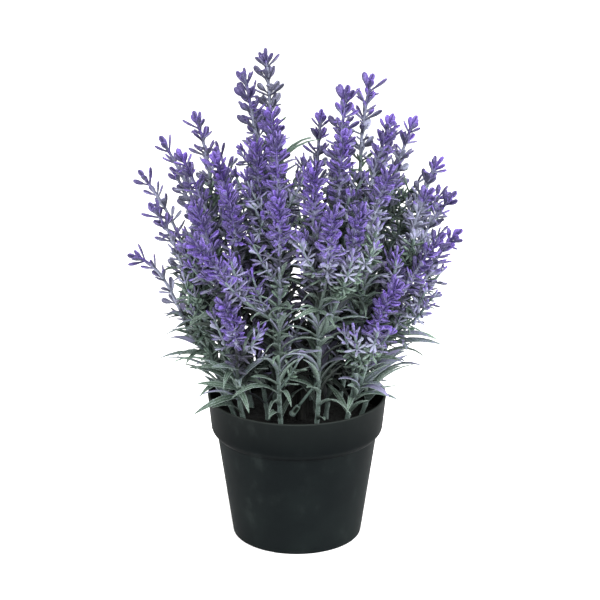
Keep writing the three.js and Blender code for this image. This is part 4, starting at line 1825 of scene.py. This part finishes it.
    def grow_main(self) -> None:
        """Grows the opposite pairs of leaves, and the tuft, that the frame's solid has."""
        for i, head in enumerate(self.heads):
            distance, pair = (self.branch_pairs_from if i else self.stalk_pairs_from), 0
            while distance < head.foot - self.bare_under_head:
                heading = pair * self.pair_turn + draw(head.limb, 0, Purpose.PAIR_HEADING) * math.pi
                for second in (0, 1):
                    mark = pair * 2 + second
                    stray = sway(head.limb, mark, Purpose.LEAF_AZIMUTH, 0.35)
                    self._leaf(head, distance, mark, heading + second * math.pi + stray, 1, Fit.MAIN)
                pitch_stray = sway(head.limb, pair, Purpose.LEAF_PITCH, self.pitch_spread)
                distance += self.leaf_pitch * (1 + pitch_stray)
                pair += 1
        if self.tuft:
            self._grow_tuft()

    def _grow_tuft(self) -> None:
        """Grows three long blades that arch to the right from one place."""
        place = self.heads[0].route.at(self.tuft)
        rightwards = math.atan2(place.across[0], place.side[0])
        curl = math.radians(self.tuft_curl)
        for i, around in enumerate((-self.tuft_turn, 0, self.tuft_turn)):

            def shape(turn: float, lift: float, size: float) -> Leaf:
                """A blade in a tried shape."""
                rise = math.radians(self.tuft_rise) * (1 + i * 0.4) * lift
                length = self.tuft_length * size
                return Leaf(place, rightwards + around + turn, rise, curl, length, 0.4, 2.6)

            self.green.add(shape, Coat(0.7, 0.0), Fit.MAIN)

    def grow_twigs(self) -> None:
        """Grows the side shoots and their clubs."""
        for head in self.heads:
            self._sprout(head)
        for twig in self.twigs:
            twig.grow(self.green, self.flowers)

    def grow_rest(self) -> None:
        """Grows the whorls of green clubs under the heads, and the other leaves."""
        for i, head in enumerate(self.heads):
            self._grow_under(head)
            self._grow_leaves(head, self.branch_loose_from if i else self.stalk_loose_from)

    def _sprout(self, head: Head) -> None:
        """Grows the side shoots of one stem, each in the first direction that is clear."""
        for number, share in enumerate(self.twig_shares):
            limb = TWIG_LIMBS + head.limb * 10 + number
            place = head.route.at(head.foot * share)
            if place.point[2] < self.lowest_twig:
                continue
            length = self.twig_length + sway(limb, 0, Purpose.TWIG_LENGTH, self.twig_length_spread)
            high = clamp((place.point[2] - self.twig_green_z) / self.twig_violet_rise)
            violet = high * (0.05 + 0.8 * head.tip.bloom)
            for turn in range(self.twig_tries):
                azimuth = draw(limb, 0, Purpose.TWIG_HEADING) * TURN + turn * self.twig_turn
                twig = Twig.sprout(limb, place, azimuth, length * (1 - 0.05 * turn), violet)
                if twig.is_clear(self.room, self.node):
                    self.room.keep_way(self.node, twig.route.points, twig.radius)
                    self.twigs.append(twig)
                    break

    def _grow_under(self, head: Head) -> None:
        """Grows whorls of clubs, green more and more, on the stem under a head."""
        below, mark = head.length + self.under_gap, self.under_mark
        end = min(head.length + self.club_zone, head.route.length - self.under_bare_foot)
        while below < end:
            violet = head.violet_at(below) * 0.8
            growth = self.flowers if violet > LEAST_VIOLET else self.green
            heading = mark * head.whorl_turn
            UNDER_CLUBS.grow(growth, head.limb, head.below(below), mark, heading, violet)
            place = head.below(below + head.whorl_pitch / 2)
            UNDER_PETALS.grow(growth, head.limb, place, mark + 10, heading, violet)
            below += head.whorl_pitch
            mark += 1

    def _grow_leaves(self, head: Head, first: float) -> None:
        """Grows whorls of leaves among the main pairs."""
        distance, mark = first, self.loose_mark
        while distance < head.foot - self.club_zone * 0.6:
            heading = distance * self.loose_turn + draw(head.limb, 2, Purpose.PAIR_HEADING) * TURN
            low = head.route.at(distance).point[2] < self.pairs_below
            count = 2 if low else 4
            for k in range(count):
                mark += 1
                stray = sway(head.limb, mark, Purpose.LEAF_AZIMUTH, 0.5)
                size = 0.85 + 0.4 * draw(head.limb, mark, Purpose.BEND)
                self._leaf(head, distance, mark, heading + TURN * k / count + stray, size, Fit.LOOSE)
            distance += self.loose_pitch * (1 + sway(head.limb, mark, Purpose.LEAF_PITCH, 0.2))

    def _add_stem(self, skin: Skin, head: Head, first: bool) -> None:
        """Adds the stalk or a side branch, with swellings where its leaves grow."""
        marks = np.arange(0 if first else 1.2, head.foot, 2.2)
        marks = np.append(marks, head.foot)
        start = self.stalk_radius if first else self.branch_radius
        swell = 0.2 * (0.5 + 0.5 * np.cos(TURN * marks / 6.6)) ** 3
        radii = (start + (self.tip_radius - start) * marks / head.foot) * (1 + swell)
        lobes = np.cos(4 * even_angles(12))
        rings = head.route.rings(marks, radii, outline_of(1 + 0.09 * lobes))
        violet = (0.6 * (marks / head.foot) ** 2)[:, None]
        if first:
            foot = rings[0] + (self.foot - rings[0].mean(0))
            rings = np.concatenate([foot[None], rings])
            violet = np.concatenate([violet[:1], violet])
        # Painted shade along the stem, from the other pieces that lie towards the light.
        reached = self.room.reached(self.node, rings.mean(1))[:, None]
        paint = Paint(0, 0.5 + 0.5 * lobes, 0.6, violet, reached)
        skin.loft(rings, paint, head.route.at(head.foot).point)

    def build(self, finishes: Finishes) -> None:
        """Builds the spray and its heads in place of their solids."""
        skin = Skin()
        for i, head in enumerate(self.heads):
            self._add_stem(skin, head, i == 0)
        for twig in self.twigs:
            twig.add_stem(self.room, self.node, skin)
        self.green.cover(skin)
        if self.socket:
            self._add_socket(skin)
        skin.piece(f"leafy_{self.name}", finishes.foliage, Slot.FOLIAGE, self.node)
        side = Skin()
        self.flowers.cover(side)
        side.piece(f"side_flowers_{self.name}", finishes.flower, Slot.FLOWER, None)
        for head in self.heads:
            head.build(finishes)

    def _add_socket(self, skin: Skin) -> None:
        """Adds the loose twig and its hollow foot, which has a window at the front."""
        neck, end, start = self._socket_way()
        twig = Route(np.linspace(start, neck, 8))
        marks = np.linspace(0, twig.length, 10)
        rings = twig.rings(marks, np.full(10, 0.85), circle(8))
        skin.loft(rings, Paint(0, 0.2, 0.7, 0), neck)
        socket = Route(np.linspace(neck, end, 10))
        shares, radii = np.array(SOCKET_PROFILE).T
        rings = socket.rings(shares * socket.length, radii, circle(24))
        middle = rings.mean(1, keepdims=True)
        spokes = rings - middle
        facing = -spokes[..., 1] / np.linalg.norm(spokes, axis=2)
        window = (facing > 0.72) & ((shares > 0.12) & (shares < 0.7))[:, None]
        rings = np.where(window[..., None], middle + spokes * 0.35, rings)
        # Painted shade: the window's recess is painted dark, with a low tone and as if no light reached it.
        opening = np.where(window, 0.0, 1.0)
        skin.loft(rings, Paint(1 - opening, 0.6 * opening, 0.9 * opening, 0, opening), end, neck)


def all_sprays() -> list[Spray]:
    """Every spray: its name, its place in the fill and the tips of its heads.

    The first tip tops the stalk and the others top side branches. A tuft grows that far up the
    stalk, and a socket is the foot of a loose twig that hangs down to that point.
    """
    return [
        Spray(
            "left", (-37, -3),
            [
                Tip(-90, -2, 222, 0.5, 0, 0.5), Tip(-97, -8, 173, 0.5, 30, 0.5),
                Tip(-84, -14, 206, 0.5, 0, 0.5),
            ],
            pairs_below=84,
        ),
        Spray(
            "left_back", (-27, 14),
            [Tip(-78, 6, 240, 0.6, 0, 0.6), Tip(-59, 8, 254, 0.6, 0, 0.6), Tip(-74, 36, 214, 0.5)],
        ),
        Spray(
            "left_inner", (-17, -5),
            [Tip(-47, -22, 238, 0.9), Tip(-67, -12, 237, 0.85), Tip(-24, -30, 250, 1)],
        ),
        Spray(
            "top_left", (-8, 12),
            [Tip(-18, 14, 289, 0.35, 0, 0.2), Tip(-30, 8, 279, 0.9, 0, 0.6), Tip(-15, -6, 261, 0.9)],
            tuft=140,
        ),
        Spray(
            "front_left", (-30, -19),
            [Tip(-41, -46, 227, 1.1), Tip(-59, -34, 214, 1), Tip(-43, -66, 166, 1.1)],
        ),
        Spray(
            "front_mid_left", (-9, -27),
            [Tip(-11, -58, 226, 1), Tip(-60, -62, 200, 1.1, 12), Tip(-12, -34, 253, 1)],
        ),
        Spray(
            "front_mid_right", (11, -27),
            [Tip(10, -48, 240, 1), Tip(21, -68, 220, 0.9), Tip(37, -52, 216, 0.7)],
            socket=(-3, -23, 82),
        ),
        Spray(
            "front_right", (28, -20),
            [Tip(53, -36, 234, 0.6), Tip(83, -34, 194, 1), Tip(59, -52, 171, 1.1)],
            pairs_below=79,
        ),
        Spray(
            "right", (38, -3),
            [Tip(91, 0, 209, 0.5), Tip(77, -14, 215, 0.4), Tip(93, -22, 193, 0.8)],
            pairs_below=76,
        ),
        Spray("top_right", (17, -4), [Tip(29, 4, 270, 0.9), Tip(27, -24, 252, 0.9), Tip(54, -2, 255, 0.8)]),
        Spray(
            "right_back", (31, 11),
            [Tip(43, 16, 274, 0.6), Tip(68, 10, 251, 0.5), Tip(83, 2, 229, 0.5)],
            pairs_below=76,
        ),
        Spray("back_mid", (9, 27), [Tip(14, 22, 252, 0.8), Tip(30, 52, 236, 0.8), Tip(4, 70, 214, 0.9)]),
        Spray(
            "back_left", (-13, 27),
            [Tip(-25, 42, 250, 0.7), Tip(-48, 50, 226, 0.8), Tip(-30, 76, 196, 0.9)],
        ),
        Spray(
            "back_right", (26, 26),
            [Tip(58, 38, 240, 0.7), Tip(64, 60, 204, 0.9), Tip(88, 30, 204, 0.8), Tip(38, 78, 190, 0.9)],
        ),
    ]


@dataclass
class Plant:
    """All the sprays that stand in the pot."""

    core: CoreStems
    fill: Fill

    def build(self, finishes: Finishes) -> None:
        """Plans, grows and builds every spray."""
        room = Room()
        for foot, top in self.core.ways():
            room.keep_way("core_stems", np.stack([foot, top]), self.core.radius)
        sprays = all_sprays()
        for number, spray in enumerate(sprays):
            spray.plan(number, self.fill.top, room)
        heads = [head for spray in sprays for head in spray.heads]
        for grown in (*heads, *sprays):
            grown.grow_main()
        LOG.info("main limbs: %d rods", room.count)
        for spray in sprays:
            spray.keep_window()
        for head in heads:
            head.grow_rest()
        for spray in sprays:
            spray.grow_twigs()
        for spray in sprays:
            spray.grow_rest()
        LOG.info("all limbs: %d rods", room.count)
        for spray in sprays:
            spray.build(finishes)


class Lamp(NamedTuple):
    """A soft square lamp: its place and size in metres, and its power in watts."""

    name: str
    at: Triple
    size: float
    power: float


@dataclass
class Studio:
    """The floor, the light and the camera."""

    lamps: Sequence[Lamp] = (
        Lamp("left", (-1.5, -0.9, 1.4), 0.9, 36),
        Lamp("right", (1.6, -0.7, 1.2), 0.9, 56),
        Lamp("top", (0.1, -0.4, 1.9), 1.0, 28),
        Lamp("front", (0.2, -1.8, 0.9), 1.0, 22),
    )
    world_strength: float = 0.78
    floor_size: float = 16.0
    floor_colour: Colour = colour(250, 250, 250)
    floor_glow: float = 0.2
    floor_roughness: float = 0.9
    camera_at: Triple = (0.0, -1160.4, 527.3)
    pitch: float = 0.319
    focal_px: float = 2110
    image_px: float = 600
    axis_px: float = 297
    sensor: float = 36

    def build(self) -> None:
        """Sets up everything round the object."""
        self._floor()
        self._world()
        for lamp in self.lamps:
            self._hang(lamp)
        self._camera()

    def _floor(self) -> None:
        """Lays the pale floor."""
        shader = Shader("floor")
        half = self.floor_size / 2
        mesh = bpy.data.meshes.new("floor")
        corners = [(-half, -half, 0), (half, -half, 0), (half, half, 0), (-half, half, 0)]
        mesh.from_pydata(corners, [], [(0, 1, 2, 3)])
        dressed = shader.dress(
            base_color=self.floor_colour, roughness=self.floor_roughness,
            emission_color=(1, 1, 1, 1), emission_strength=self.floor_glow,
        )
        mesh.materials.append(dressed)
        floor = bpy.data.objects.new("floor", mesh)
        bpy.context.scene.collection.objects.link(floor)

    def _world(self) -> None:
        """Sets a soft even light from all round."""
        world = bpy.data.worlds.new("studio")
        world.use_nodes = True
        light = world.node_tree.nodes["Background"].inputs
        light["Color"].default_value = (1, 1, 1, 1)
        light["Strength"].default_value = self.world_strength
        bpy.context.scene.world = world
        bpy.context.scene.view_settings.view_transform = "Standard"

    def _hang(self, given: Lamp) -> None:
        """Hangs a lamp so that it faces the middle of the plant."""
        data = bpy.data.lights.new(given.name, "AREA")
        data.size, data.energy = given.size, given.power
        lamp = bpy.data.objects.new(given.name, data)
        lamp.location = given.at
        aim = Vector((0, 0, 0.15)) - lamp.location
        lamp.rotation_euler = aim.to_track_quat("-Z", "Y").to_euler()
        bpy.context.scene.collection.objects.link(lamp)

    def _camera(self) -> None:
        """Sets the camera at the photograph's viewing angle."""
        data = bpy.data.cameras.new("camera")
        data.sensor_width = self.sensor
        data.lens = self.focal_px / self.image_px * self.sensor
        data.shift_x = (self.image_px / 2 - self.axis_px) / self.image_px
        camera = bpy.data.objects.new("camera", data)
        camera.location = [number * MM for number in self.camera_at]
        camera.rotation_euler = (math.pi / 2 - self.pitch, 0, 0)
        bpy.context.scene.collection.objects.link(camera)
        bpy.context.scene.camera = camera


def main() -> None:
    """Builds the object and its studio."""
    logging.basicConfig(level=logging.INFO, format="%(message)s")
    Studio().build()
    finishes = Finishes()
    Pot().build(finishes)
    fill, core = Fill(), CoreStems()
    fill.build(finishes)
    core.build(finishes)
    Plant(core, fill).build(finishes)


if __name__ == "__main__":
    main()
